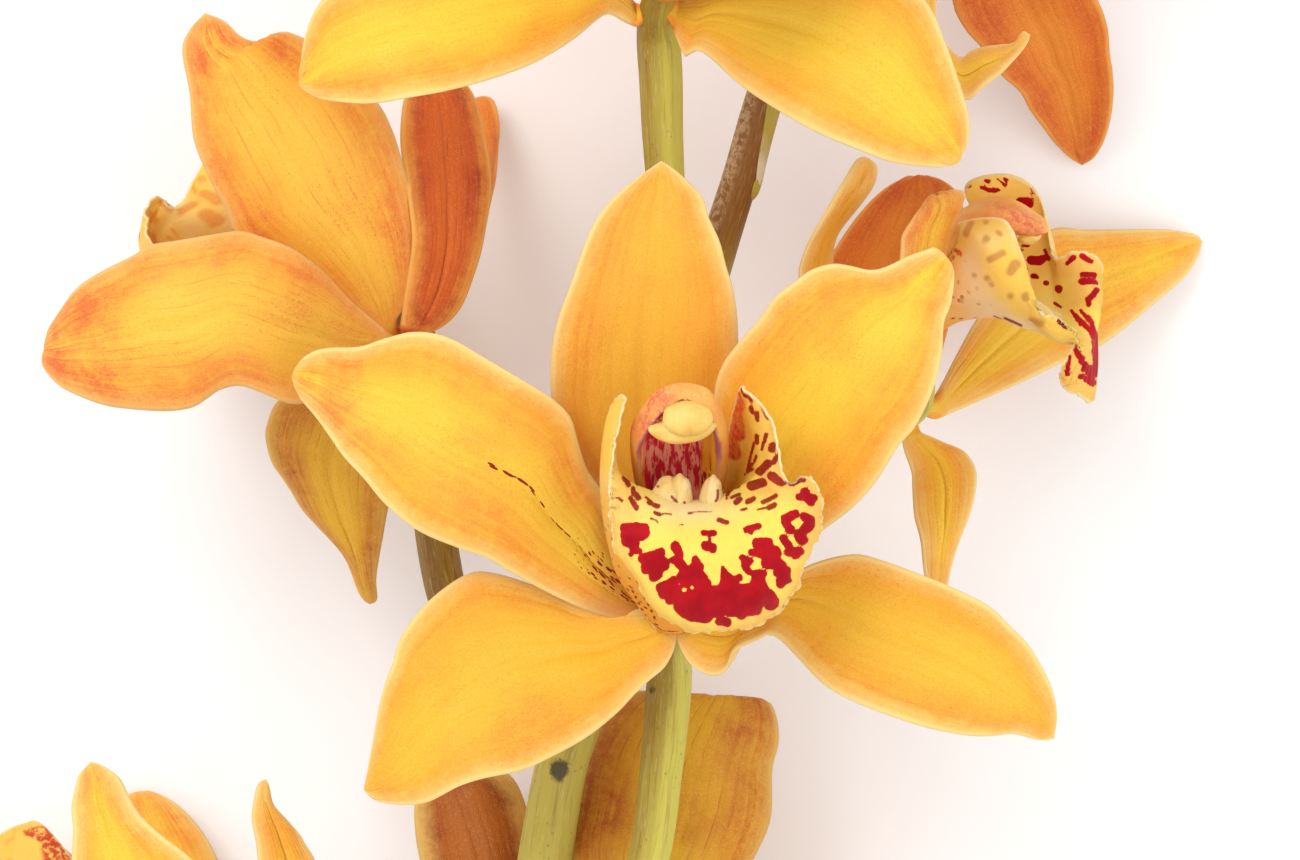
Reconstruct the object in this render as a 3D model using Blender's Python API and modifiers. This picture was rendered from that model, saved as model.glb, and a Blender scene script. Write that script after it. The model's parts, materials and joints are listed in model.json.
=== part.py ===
# Cut flower stem of a cymbidium orchid, lying on its side: one arching stalk that carries
# seven open flowers. Every flower has a dorsal sepal, two petals, two lateral sepals, a lip,
# and a flower stalk that goes on through the ovary into the column.
# Outlines are set out on a drawing plane that looks straight down on the stem. A drawing
# point (a, b, h) is a units to the right, b units down the page, h mm above the surface.
import math
import bpy
import bmesh
import numpy as np

# ---- driving dimensions -------------------------------------------------------------
UNIT = 0.000152          # one drawing unit in metres, at the level of the front flower
VIEW_H = 1.10            # eye distance of the drawing's perspective above that level, m
LEVEL = 0.090            # height of that level, m
PAGE_A, PAGE_B = 650.0, 430.0   # page centre, drawing units
SHIFT_X, SHIFT_Y = 0.01257, 0.12163   # moves the whole stem so that its box is centred, m
TEPAL_T = 0.0013         # thickness of a tepal, m
LIP_T = 0.0014           # thickness of the lip, m
ROWS, COLS = 7, 4        # tepal grid
GAP = 0.35               # between the stem and a flower stalk, mm
STEM_R_BASE, STEM_R_MID, STEM_R_TOP = 4.9, 4.2, 2.4     # stalk radius, mm
# -------------------------------------------------------------------------------------


def point(a, b, h):
    """Drawing point to metres, through the drawing's perspective."""
    k = (VIEW_H + LEVEL - h * 0.001) / VIEW_H
    return ((a - PAGE_A) * UNIT * k, (PAGE_B - b) * UNIT * k, h * 0.001)


def world(pts):
    return np.array([point(*p) for p in np.asarray(pts, float).reshape(-1, 3)]).reshape(np.shape(pts))


def dense(pts, per=16):
    """Catmull-Rom curve through the points."""
    p = np.asarray(pts, float)
    if len(p) == 2:
        w = np.linspace(0, 1, per + 1)[:, None]
        return p[0] * (1 - w) + p[1] * w
    q = np.vstack([2 * p[0] - p[1], p, 2 * p[-1] - p[-2]])
    out = []
    for i in range(1, len(q) - 2):
        w = np.linspace(0, 1, per, endpoint=False)[:, None]
        a, b, c, d = q[i - 1], q[i], q[i + 1], q[i + 2]
        out.append(0.5 * (2 * b + (c - a) * w + (2 * a - 5 * b + 4 * c - d) * w ** 2
                          + (3 * b - a - 3 * c + d) * w ** 3))
    out.append(p[-1][None])
    return np.vstack(out)


def resample(pts, ts):
    """Points at these fractions of the curve's length."""
    c = dense(pts)
    run = np.concatenate([[0], np.cumsum(np.linalg.norm(np.diff(c, axis=0), axis=1))])
    run /= run[-1]
    return np.stack([np.interp(ts, run, c[:, k]) for k in range(c.shape[1])], axis=1)


def profile(values, ts):
    v = np.asarray(values, float)
    c = dense(np.stack([np.linspace(0, 1, len(v)), v], axis=1))
    return np.interp(ts, c[:, 0], c[:, 1])


def sheet(left, right, h, hl=(0,), hr=(0,), mid=None, rows=ROWS, cols=COLS):
    """Grid (rows+1, cols+1, 3) in drawing units of a leaf-like sheet between two margins."""
    ts = np.linspace(0, 1, rows + 1)
    us = np.linspace(-1, 1, cols + 1)
    lo, ro = resample(left, ts), resample(right, ts)
    mo = resample(mid, ts) if mid is not None else 0.5 * (lo + ro)
    hm = profile(h, ts)
    ext = lambda v: profile(v, ts) if len(v) > 1 else np.full(len(ts), float(v[0]))
    taper = np.minimum(1, (1 - ts) * 4)
    lo = np.column_stack([lo, hm + ext(hl) * taper])
    ro = np.column_stack([ro, hm + ext(hr) * taper])
    mo = np.column_stack([mo, hm])
    g = [lo * (u * (u - 1) / 2) + mo * (1 - u * u) + ro * (u * (u + 1) / 2) for u in us]
    return np.stack(g, axis=1)


def lattice(rows_of_points, rows, cols):
    """Smooth grid through a small lattice of drawing points."""
    a = np.asarray(rows_of_points, float)
    ts, us = np.linspace(0, 1, rows + 1), np.linspace(0, 1, cols + 1)

    def along(arr, w):
        n = len(arr)
        x = np.linspace(0, 1, n)
        q = np.concatenate([2 * arr[:1] - arr[1:2], arr, 2 * arr[-1:] - arr[-2:-1]])
        out = []
        for t in w:
            i = min(int(t * (n - 1)), n - 2)
            f = t * (n - 1) - i
            p, b, c, d = q[i], q[i + 1], q[i + 2], q[i + 3]
            out.append(0.5 * (2 * b + (c - p) * f + (2 * p - 5 * b + 4 * c - d) * f * f
                              + (3 * b - p - 3 * c + d) * f ** 3))
        return np.stack(out)

    g = along(a, ts)
    return np.swapaxes(along(np.swapaxes(g, 0, 1), us), 0, 1)


# ---- the front flower, which the others follow where they are hidden ----------------
F1 = dict(
    joint=(671, 636, 58),
    dorsal_sepal=dict(
        left=[(660, 586), (640, 530), (600, 470), (566, 430), (551, 399), (550, 373), (552, 344), (558, 317), (568, 288), (583, 247), (596, 220), (614, 197), (637, 178), (652, 167), (661, 161)],
        right=[(690, 586), (705, 520), (722, 450), (735, 390), (738, 338), (734, 297), (725, 264), (719, 241), (708, 217), (702, 198), (690, 184), (678, 173), (668, 165), (661, 161)],
        h=(55, 61, 66, 70, 73, 74, 72), hl=(0, 2, 3, 3), hr=(0, 2, 3, 3)),
    petal_left=dict(
        left=[(634, 618), (618, 620), (586, 610), (551, 594), (510, 572), (487, 558), (459, 548), (417, 530), (385, 505), (363, 479), (344, 457), (331, 438), (315, 416), (299, 397), (293, 382), (293, 376)],
        right=[(640, 582), (628, 550), (610, 518), (602, 492), (586, 467), (577, 438), (570, 416), (551, 397), (522, 379), (484, 358), (449, 339), (417, 333), (385, 339), (360, 347), (330, 348), (312, 352), (299, 362), (293, 376)],
        h=(61, 67, 73, 77, 79, 78, 74), hl=(0, 1, 2, 2), hr=(0, 2, 3, 3)),
    petal_right=dict(
        left=[(706, 556), (704, 500), (708, 440), (714, 396), (717, 379), (725, 361), (743, 338), (761, 317), (775, 297), (796, 281), (813, 270), (834, 265), (852, 267), (869, 270), (884, 267), (907, 256), (925, 250), (935, 248), (948, 259)],
        right=[(714, 594), (745, 585), (785, 558), (822, 531), (852, 508), (875, 482), (898, 446), (916, 426), (934, 391), (942, 355), (944, 323), (951, 303), (954, 276), (948, 259)],
        h=(61, 68, 75, 80, 83, 83, 80), hl=(0, 2, 3, 2), hr=(0, 2, 3, 2)),
    sepal_left=dict(
        left=[(655, 664), (648, 680), (634, 699), (612, 719), (586, 738), (551, 757), (522, 770), (484, 778), (459, 786), (430, 801), (408, 805), (385, 803), (372, 798), (364, 790)],
        right=[(641, 634), (634, 624), (605, 617), (573, 604), (541, 588), (510, 577), (487, 572), (471, 573), (449, 585), (423, 607), (401, 636), (392, 664), (382, 693), (372, 747), (364, 790)],
        h=(55, 60, 65, 68, 69, 66, 60), hl=(0, 1, 2, 2), hr=(0, 1, 2, 2)),
    sepal_right=dict(
        left=[(705, 624), (740, 605), (780, 580), (806, 567), (822, 561), (842, 556), (862, 555), (893, 564), (921, 574), (949, 585), (988, 606), (1010, 627), (1027, 644), (1041, 666), (1053, 692), (1057, 717), (1054, 739)],
        right=[(692, 662), (705, 670), (716, 675), (724, 670), (735, 651), (761, 640), (769, 636), (780, 641), (797, 658), (820, 682), (842, 696), (879, 711), (921, 724), (963, 734), (991, 736), (1013, 734), (1038, 740), (1054, 739)],
        h=(55, 61, 67, 71, 73, 72, 68), hl=(0, 2, 3, 2), hr=(0, 2, 3, 2)),
)
LIP = [
    [(656, 642, 62), (663, 644, 62.5), (672, 645, 63), (682, 643, 62.5), (690, 640, 62)],
    [(634, 600, 66), (652, 606, 68), (674, 608, 70), (698, 604, 68), (716, 596, 66)],
    [(612, 540, 74), (638, 560, 76), (682, 568, 77), (724, 556, 76), (752, 538, 74)],
    [(604, 470, 84), (622, 520, 82), (690, 530, 82.5), (747, 505, 82), (774, 455, 84)],
    [(622, 398, 90), (611, 470, 87), (694, 508, 85), (759, 480, 87), (747, 388, 92)],
    [(610, 482, 94), (630, 492, 91.5), (697, 503, 90), (775, 483, 93), (797, 480, 95)],
    [(609, 498, 95), (642, 508, 97), (704, 518, 97), (775, 500, 98), (822, 502, 95)],
    [(611, 530, 94), (650, 540, 100), (710, 560, 101), (772, 545, 101), (816, 535, 95)],
    [(637, 577, 90), (662, 580, 97), (713, 598, 99), (758, 588, 98), (799, 580, 91)],
    [(660, 612, 88), (684, 629, 90), (712, 633, 92), (744, 629, 91), (780, 610, 88)],
]
# the lip that is seen from the side, in its own place
LIP_SIDE = [
    [(926, 392, 45), (931, 400, 46), (938, 408, 44), (943, 411, 40), (944, 408, 37), (942, 400, 36), (936, 390, 36.5)],
    [(930, 335, 46), (935, 348, 48), (942, 360, 48), (950, 366, 45), (955, 358, 40), (955, 344, 38), (950, 327, 38.5)],
    [(945, 268, 50), (951, 290, 52.5), (956, 312, 53.5), (966, 322, 48), (974, 306, 41), (974, 286, 38), (968, 262, 39)],
    [(957, 232, 53), (968, 262, 58), (982, 296, 59), (996, 314, 50), (1004, 298, 41.5), (1002, 272, 38), (978, 226, 39)],
    [(962, 222, 55), (986, 246, 63.5), (1006, 292, 62.5), (1016, 322, 51), (1024, 300, 42), (1024, 262, 38.5), (978, 177, 42)],
    [(1003, 219, 63), (1010, 262, 65), (1026, 302, 62), (1036, 327, 51), (1042, 303, 43), (1042, 262, 39.5), (1020, 179, 43.5)],
    [(1018, 246, 64), (1026, 284, 64), (1038, 318, 60), (1050, 333, 51.5), (1055, 308, 44), (1053, 264, 40), (1042, 205, 43.5)],
    [(1037, 306, 62), (1044, 318, 61.5), (1051, 332, 58.5), (1064, 338, 53), (1070, 315, 47), (1064, 280, 42.5), (1053, 254, 42.5)],
    [(1056, 317, 61), (1062, 325, 61), (1070, 340, 58), (1082, 337, 54), (1088, 308, 48.5), (1084, 274, 44.5), (1074, 251, 43.5)],
    [(1069, 326, 60), (1074, 334, 60), (1080, 346, 58), (1089, 344, 54.5), (1095, 318, 49.5), (1099, 287, 45), (1097, 257, 43.5)],
    [(1077, 338, 58.5), (1079, 347, 58), (1083, 356, 56.5), (1088, 358, 54), (1091, 338, 50.5), (1094, 308, 46), (1102, 277, 43.5)],
    [(1064, 361, 56), (1070, 367, 56), (1077, 373, 55), (1084, 376, 53), (1090, 370, 50.5), (1094, 350, 47), (1092, 320, 44.5)],
    [(1059, 378, 54), (1064, 388, 53.5), (1072, 393, 53), (1081, 397, 51.5), (1088, 403, 49.5), (1093, 398, 47), (1096, 372, 45.5)],
]
# column: the end of the flower stalk above the joint, with its radius in mm
COLUMN = [(671, 636, 56, 2.5), (673, 606, 61.5, 2.4), (676, 570, 67, 2.6), (679, 530, 73, 3.0), (682, 480, 81, 4.0), (685, 430, 88, 5.2), (686, 404, 91, 4.6)]

# Turns (degrees, about z, then y, then x) and joints of the flowers; "own" tepals have their
# own outlines, the rest follow the front flower.
FLOWERS = {
    "flower1": dict(joint=F1["joint"], turn=(0, 0, 0), own={}, stalk=[(526, 1080, 2.6), (566, 1010, 46, 2.8), (612, 935, 48.5, 3.0), (648, 860, 48.5, 3.3), (661, 770, 48, 3.4), (668, 700, 48, 3.5), (670, 662, 50, 3.3)]),
    "flower2": dict(joint=(657, 5, 60), turn=(-14, 0, 0),
        own=dict(
            sepal_left=dict(
                left=[(634, 26), (625, 22), (612, 14), (600, 18), (570, 42), (530, 65), (480, 82), (430, 95), (380, 103), (340, 102), (315, 97), (302, 89), (300, 82)],
                right=[(632, 0), (600, -28), (550, -50), (500, -58), (450, -50), (400, -36), (360, -22), (322, 0), (304, 40), (300, 82)],
                h=(57, 64, 71, 76, 78, 76, 72), hl=(0, 2, 3, 2), hr=(0, -3, 0, 2)),
            sepal_right=dict(
                left=[(686, -4), (730, -22), (780, -40), (830, -44), (880, -32), (925, 0), (945, 45), (960, 85), (969, 115), (968, 140), (960, 162)],
                right=[(676, 34), (685, 56), (693, 52), (700, 51), (715, 62), (740, 85), (775, 108), (810, 128), (850, 148), (890, 162), (930, 167), (948, 166), (960, 162)],
                h=(58, 66, 73, 78, 80, 79, 76), hl=(0, 2, 3, 2), hr=(0, 2, 3, 2)),
        ),
        stalk=[(694, 340, 2.5), (682, 262, 50.5, 2.9), (668, 200, 51.5, 3.1), (663, 140, 51.5, 3.2), (661, 80, 51.5, 3.3), (658, 35, 52.5, 3.2)]),
    "flower3": dict(joint=(408, 335, 44), turn=(10, -128, -20),
        own=dict(
            dorsal_sepal=dict(
                left=[(400, 306), (408, 300), (421, 270), (427, 241), (429, 207), (426, 161), (416, 129), (405, 96), (412, 84), (436, 78)],
                right=[(424, 312), (445, 318), (462, 303), (478, 259), (485, 223), (490, 191), (489, 161), (481, 119), (469, 88), (452, 78), (436, 78)],
                h=(49, 49.5, 50, 49, 47, 45), hl=(1, 4, 5, 4), hr=(-1, -4, -5, -4)),
            petal_left=dict(
                left=[(374, 332), (341, 305), (295, 270), (242, 240), (226, 209), (210, 179), (194, 138), (190, 92), (183, 50), (190, 30), (205, 13)],
                right=[(396, 312), (405, 290), (410, 250), (405, 195), (400, 165), (390, 130), (378, 103), (345, 62), (298, 36), (280, 32), (268, 40), (255, 42), (240, 36), (225, 22), (205, 13)],
                h=(50, 54, 58, 61, 63, 63), hl=(0, -1, -2, -2), hr=(0, -2, -4, -3)),
            petal_right=dict(
                left=[(424, 304), (440, 270), (455, 220), (462, 170), (464, 130), (468, 105), (476, 100)],
                right=[(434, 318), (460, 290), (480, 240), (494, 190), (499, 150), (499, 125), (495, 104), (486, 99), (476, 100)],
                h=(40, 34, 28, 19, 10, 1.6), hl=(0, 0, 0, 0), hr=(0, -4, -3, 0)),
            sepal_left=dict(
                left=[(384, 356), (350, 392), (300, 403), (280, 400), (260, 392), (240, 386), (220, 390), (205, 400), (190, 408), (160, 411), (115, 407), (85, 398), (60, 385), (45, 365), (45, 350)],
                right=[(388, 332), (375, 322), (350, 300), (325, 272), (295, 250), (265, 238), (240, 231), (210, 235), (180, 240), (150, 245), (135, 255), (105, 272), (80, 290), (60, 315), (50, 332), (45, 350)],
                h=(54, 60, 66, 69, 68, 62, 54), hl=(0, -2, -4, -3), hr=(0, -1, -3, -2)),
            sepal_right=dict(
                left=[(404, 366), (350, 390), (300, 396), (278, 401), (268, 422), (266, 438), (272, 463), (282, 480), (294, 501), (302, 512), (316, 525), (330, 539), (346, 560), (361, 595), (370, 604)],
                right=[(424, 370), (418, 400), (400, 460), (388, 509), (383, 537), (379, 558), (376, 580), (377, 599), (370, 604)],
                h=(41, 39, 36, 33, 30, 27), hl=(0, -2, -4, -2), hr=(0, 0, 1, 0)),
        ),
        stalk=[(585, 700, 2.6), (548, 686, 43, 2.8), (508, 666, 43.5, 3.0), (474, 640, 44, 3.1), (451, 604, 45, 3.2), (440, 560, 45.5, 3.2), (431, 490, 46, 3.3), (424, 410, 46.5, 3.2), (417, 365, 46, 2.9)]),
    "flower4": dict(joint=(915, 405, 38), turn=(0, 58, 0),
        own=dict(
            dorsal_sepal=dict(
                left=[(902, 376), (860, 350), (815, 310), (799, 279), (810, 247), (831, 203), (846, 176), (857, 159), (868, 158)],
                right=[(914, 372), (885, 330), (845, 290), (832, 262), (835, 235), (852, 209), (872, 185), (876, 168), (868, 158)],
                h=(46, 50, 54, 56, 56, 54), hl=(0, 3, 4, 3), hr=(0, -3, -4, -3)),
            petal_left=dict(
                left=[(916, 372), (905, 330), (896, 290), (901, 253), (904, 232), (922, 206), (935, 197)],
                right=[(930, 372), (938, 330), (944, 290), (950, 240), (962, 210), (966, 193), (950, 190), (935, 197)],
                h=(50, 55, 59, 61, 61), hl=(0, 3, 4, 2), hr=(0, -2, -3, -2)),
            petal_right=dict(
                left=[(922, 372), (880, 330), (835, 290), (825, 267), (834, 250), (852, 223), (875, 197), (898, 182), (919, 176)],
                right=[(938, 366), (962, 320), (980, 270), (984, 225), (970, 195), (945, 180), (919, 176)],
                h=(34, 33, 31, 29, 27), hl=(0, 2, 3, 2), hr=(0, -2, -4, -3)),
            sepal_left=dict(
                left=[(902, 440), (904, 450), (911, 470), (912, 485), (914, 515), (919, 535), (923, 560), (927, 590), (936, 604)],
                right=[(926, 436), (942, 441), (962, 450), (973, 463), (977, 478), (974, 500), (968, 520), (957, 545), (951, 568), (945, 592), (936, 604)],
                h=(40, 44, 48, 50, 50, 47), hl=(0, 1, 2, 1), hr=(0, -1, -2, -1)),
            sepal_right=dict(
                left=[(938, 392), (970, 330), (1010, 270), (1047, 232), (1084, 230), (1125, 229), (1165, 229), (1186, 232), (1197, 235), (1202, 242)],
                right=[(940, 418), (961, 409), (1002, 391), (1033, 377), (1059, 364), (1097, 348), (1125, 328), (1155, 303), (1182, 279), (1194, 262), (1202, 242)],
                h=(33, 28, 21, 14, 7, 1.4), hl=(0, -1, -2, 0), hr=(0, 0, 1, 0)),
        ),
        stalk=[(636, 510, 2.6), (700, 470, 42, 2.8), (770, 452, 41, 3.0), (840, 438, 39, 3.1), (890, 418, 38, 2.9)],
        column=[(915, 405, 36.5, 2.5), (921, 378, 39, 2.4), (932, 338, 42, 2.4), (949, 295, 45, 2.6), (974, 256, 48, 3.0), (1003, 228, 50, 3.4), (1020, 221, 51, 3.0)],
        lip=LIP_SIDE),
    "flower5": dict(joint=(985, -150, 40), turn=(20, 42, 0),
        own=dict(
            sepal_right=dict(
                left=[(978, -116), (958, -60), (952, -20), (955, 10), (967, 32), (980, 46), (1002, 76), (1014, 86), (1023, 96), (1030, 110), (1041, 125), (1054, 142), (1071, 158), (1082, 165)],
                right=[(1002, -118), (1050, -80), (1085, -35), (1098, 0), (1103, 12), (1108, 31), (1110, 54), (1113, 71), (1114, 94), (1110, 121), (1103, 143), (1094, 157), (1082, 165)],
                h=(37, 33, 27, 19, 10, 1.4), hl=(0, 2, 3, 2), hr=(0, 1, 2, 1)),
            sepal_left=dict(
                left=[(954, -106), (915, -60), (905, 0), (925, 60), (950, 90), (967, 100), (984, 87), (1000, 75), (1014, 60), (1027, 44), (1030, 35)],
                right=[(972, -98), (955, -60), (938, -10), (938, 30), (959, 57), (971, 51), (984, 46), (1000, 44), (1014, 42), (1023, 31), (1030, 35)],
                h=(42, 46, 49, 50, 50, 48), hl=(0, 2, 3, 2), hr=(0, -1, -2, -1)),
            petal_left=dict(
                left=[(950, -168), (900, -170), (840, -180), (780, -215), (745, -260), (735, -310), (742, -345)],
                right=[(962, -182), (930, -230), (890, -290), (840, -340), (790, -360), (755, -360), (742, -345)],
                h=(43, 49, 54, 57, 58, 55), hl=(0, 1, 2, 1), hr=(0, 1, 2, 1)),
        ),
        stalk=[(803, -40, 2.3), (850, -66, 44.5, 2.6), (900, -100, 41, 2.9), (950, -132, 39, 2.8)]),
    "flower6": dict(joint=(650, 996, 46.0), turn=(-8, 170, 0),
        own=dict(
            dorsal_sepal=dict(
                left=[(642, 984), (610, 940), (585, 900), (572, 860), (578, 818), (590, 781), (606, 762), (628, 744), (650, 726), (672, 713), (692, 708), (716, 705)],
                right=[(666, 984), (700, 940), (735, 890), (757, 850), (771, 815), (773, 769), (779, 745), (778, 722), (770, 702), (752, 699), (735, 703), (716, 705)],
                h=(49.8, 43, 37, 32, 28, 24), hl=(0, -4, -5, -3), hr=(0, -3, -5, -3)),
            petal_right=dict(
                left=[(616, 1036), (560, 1040), (500, 1005), (455, 940), (424, 870), (414, 810), (424, 776), (450, 765)],
                right=[(620, 1013), (585, 1014), (556, 980), (544, 920), (536, 860), (528, 810), (512, 777), (485, 764), (450, 765)],
                h=(44, 29.5, 24, 20, 17, 14), hl=(0, -3, -4, -3), hr=(0, -2, -3, -2)),
            petal_left=dict(
                left=[(684, 1006), (740, 960), (810, 925), (880, 915), (950, 930), (1000, 960), (1012, 985)],
                right=[(684, 1030), (740, 1050), (810, 1060), (880, 1050), (950, 1030), (995, 1005), (1012, 985)],
                h=(46, 49, 51, 50, 47, 42), hl=(0, -1, -2, -1), hr=(0, -1, -2, -1)),
            sepal_left=dict(
                left=[(682, 1048), (750, 1070), (810, 1110), (860, 1170), (885, 1230), (890, 1275), (884, 1290)],
                right=[(664, 1062), (690, 1120), (730, 1180), (780, 1235), (830, 1275), (865, 1292), (884, 1290)],
                h=(46, 47, 47, 44, 40, 34), hl=(0, -1, -2, -1), hr=(0, -1, -2, -1)),
            sepal_right=dict(
                left=[(628, 1054), (575, 1066), (500, 1084), (435, 1120), (390, 1170), (370, 1230), (366, 1270), (372, 1290)],
                right=[(640, 1070), (606, 1118), (560, 1170), (510, 1225), (450, 1265), (400, 1287), (372, 1290)],
                h=(43, 29, 21, 14, 7, 1.4), hl=(0, -3, -2, 0), hr=(0, -1, -2, 0)),
        ),
        stalk=[(510, 1390, 2.6), (548, 1320, 46, 2.9), (600, 1215, 51, 3.0), (638, 1110, 53, 3.0), (650, 1046, 51.6, 2.9)]),
    "flower7": dict(joint=(190, 1080, 38), turn=(18, -118, 0),
        own=dict(
            petal_right=dict(
                left=[(160, 1062), (120, 1010), (85, 950), (72, 900), (72, 859), (74, 829), (72, 807), (76, 784), (80, 773), (91, 762)],
                right=[(180, 1046), (205, 1000), (212, 940), (205, 885), (193, 862), (184, 853), (162, 836), (141, 816), (129, 797), (120, 779), (103, 766), (91, 762)],
                h=(45, 54, 58, 58, 56, 52), hl=(0, 1, 2, 1), hr=(0, 1, 2, 1)),
            dorsal_sepal=dict(
                left=[(198, 1042), (220, 1000), (245, 940), (256, 890), (257, 859), (255, 836), (252, 818), (254, 799), (258, 784), (266, 779)],
                right=[(214, 1046), (262, 1000), (310, 950), (325, 900), (315, 862), (306, 847), (299, 834), (288, 821), (274, 805), (270, 788), (266, 779)],
                h=(37, 38, 38, 38, 37, 34), hl=(0, 1, 2, 1), hr=(0, -2, -3, -2)),
            petal_left=dict(
                left=[(206, 1044), (170, 980), (140, 920), (125, 870), (118, 830), (124, 800), (140, 792)],
                right=[(220, 1036), (235, 980), (236, 920), (222, 870), (200, 830), (170, 800), (140, 792)],
                h=(31, 25, 19, 12, 6, 1.4), hl=(0, -1, -2, 0), hr=(0, -1, -2, 0)),
            sepal_right=dict(
                left=[(162, 1098), (110, 1130), (60, 1180), (28, 1240), (18, 1300), (24, 1350), (36, 1372)],
                right=[(178, 1116), (172, 1180), (150, 1240), (120, 1300), (85, 1350), (55, 1372), (36, 1372)],
                h=(44, 49, 51, 48, 42, 34), hl=(0, 1, 2, 1), hr=(0, 1, 2, 1)),
            sepal_left=dict(
                left=[(194, 1122), (170, 1180), (160, 1240), (165, 1300), (180, 1350), (200, 1380)],
                right=[(212, 1116), (240, 1180), (255, 1240), (252, 1300), (232, 1350), (200, 1380)],
                h=(31, 25, 18, 11, 5, 1.4), hl=(0, -1, -2, 0), hr=(0, -1, -2, 0)),
        ),
        stalk=[(501, 1520, 2.6), (470, 1450, 37, 2.8), (400, 1340, 37, 3.0), (310, 1220, 37, 3.1), (240, 1124, 37, 2.9)]),
}
STALK = [(505, 2900, 4.9, 4.9), (504, 2650, 10, 4.8), (502, 2350, 17, 4.7), (500, 2050, 24, 4.6), (500, 1800, 30, 4.5), (503, 1550, 34.5, 4.5), (508, 1300, 35, 4.4), (517, 1100, 35, 4.4), (531, 960, 35, 4.3), (545, 860, 35.5, 4.3), (561, 768, 36, 4.2), (586, 690, 36.5, 4.0), (608, 610, 37, 3.8), (634, 520, 38, 3.6), (662, 430, 39, 3.4), (691, 340, 40, 3.2), (719, 245, 41, 3.0), (741, 175, 42, 2.9), (761, 105, 43, 2.8), (782, 40, 44, 2.7), (797, -20, 44.5, 2.5), (812, -80, 45, 2.0), (820, -112, 45, 1.0)]


def turning(turn):
    az, ay, ax = (math.radians(v) for v in turn)
    cz, sz, cy, sy, cx, sx = math.cos(az), math.sin(az), math.cos(ay), math.sin(ay), math.cos(ax), math.sin(ax)
    rz = np.array([[cz, -sz, 0], [sz, cz, 0], [0, 0, 1]])
    ry = np.array([[cy, 0, sy], [0, 1, 0], [-sy, 0, cy]])
    rx = np.array([[1, 0, 0], [0, cx, -sx], [0, sx, cx]])
    return rx @ ry @ rz


def placed(grid_world, flower):
    """Front flower's metres carried to another flower's joint and turn."""
    f = FLOWERS[flower]
    j1, j = np.array(point(*F1["joint"])), np.array(point(*f["joint"]))
    return (grid_world - j1) @ turning(f["turn"]).T + j


TEPALS = ("dorsal_sepal", "petal_left", "petal_right", "sepal_left", "sepal_right")


def tepal_grid(flower, name, rows=ROWS, cols=COLS):
    own = FLOWERS[flower]["own"].get(name)
    if own:
        return world(sheet(rows=rows, cols=cols, **own))
    return placed(world(sheet(rows=rows, cols=cols, **F1[name])), flower)


def lip_grid(flower, rows=9, cols=6):
    if "lip" in FLOWERS[flower]:
        return world(lattice(FLOWERS[flower]["lip"], rows + 3, cols))
    return placed(world(lattice(LIP, rows, cols)), flower)


def stalk_start(first, towards):
    """Where a flower stalk leaves the stem, GAP clear of its surface."""
    pts = dense(world([p[:3] for p in STALK]))
    rad = dense([[p[3]] for p in STALK])[:, 0]
    b = np.array(point(first[0], first[1], 38))[1]
    i = int(np.argmin(abs(pts[:, 1] - b)))
    axis = pts[i + 1] - pts[i - 1]
    axis = axis / np.linalg.norm(axis)
    way = np.array(towards) - pts[i]
    way = way / np.linalg.norm(way)
    along = abs(float(way @ axis))
    across = math.sqrt(1 - along * along)
    return pts[i] + way * (rad[i] + GAP + first[2] * along) * 0.001 / across


def stalk_path(flower):
    """Points in metres and radii in mm from the stem to the tip of the column."""
    f = FLOWERS[flower]
    low = [np.array(point(*p[:3])) for p in f["stalk"][1:]]
    low.insert(0, stalk_start(f["stalk"][0], low[0]))
    own = f.get("column")
    col = [np.array(point(*p[:3])) for p in own] if own else [placed(np.array(point(*p[:3])), flower) for p in COLUMN]
    return np.array(low + col), [p[-1] for p in f["stalk"]] + [p[3] for p in own or COLUMN]


def moved(pts):
    return np.asarray(pts, float) + np.array([SHIFT_X, SHIFT_Y, 0.0])


def material(name, colour, roughness):
    m = bpy.data.materials.new(name)
    m.use_nodes = True
    b = m.node_tree.nodes["Principled BSDF"]
    b.inputs["Base Color"].default_value = (*colour, 1)
    b.inputs["Roughness"].default_value = roughness
    return m


def add(mesh_or_curve, name, mat):
    ob = bpy.data.objects.new(name, mesh_or_curve)
    mesh_or_curve.materials.append(mat)
    stem.objects.link(ob)
    return ob


def sheet_object(name, grid, thickness, mat):
    rows, cols = grid.shape[0] - 1, grid.shape[1] - 1
    bm = bmesh.new()
    bmesh.ops.create_grid(bm, x_segments=cols, y_segments=rows, size=1.0)
    at = moved(grid)
    for v in bm.verts:
        c = round((v.co.x + 1) / 2 * cols)
        r = round((v.co.y + 1) / 2 * rows)
        v.co = at[r, c]
    bmesh.ops.remove_doubles(bm, verts=bm.verts, dist=0.00002)
    me = bpy.data.meshes.new(name)
    bm.to_mesh(me)
    bm.free()
    ob = add(me, name, mat)
    so = ob.modifiers.new("thickness", "SOLIDIFY")
    so.thickness = thickness
    so.offset = 0.0
    return ob


def rod_object(name, pts, radii, mat, sides=2):
    cu = bpy.data.curves.new(name, "CURVE")
    cu.dimensions = "3D"
    sp = cu.splines.new("POLY")
    pts = moved(pts)
    sp.points.add(len(pts) - 1)
    for p, q, r in zip(sp.points, pts, radii):
        p.co = (*q, 1)
        p.radius = r
    cu.bevel_depth = 0.001
    cu.bevel_resolution = sides
    cu.use_fill_caps = True
    return add(cu, name, mat)


def curve_samples(pts, radii, n):
    both = resample(np.column_stack([pts, np.array(radii) * 0.001]), np.linspace(0, 1, n))
    return both[:, :3], both[:, 3] * 1000


for ob in list(bpy.data.objects):
    bpy.data.objects.remove(ob)
stem = bpy.data.collections.new("cymbidium_stem")
bpy.context.scene.collection.children.link(stem)

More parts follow.
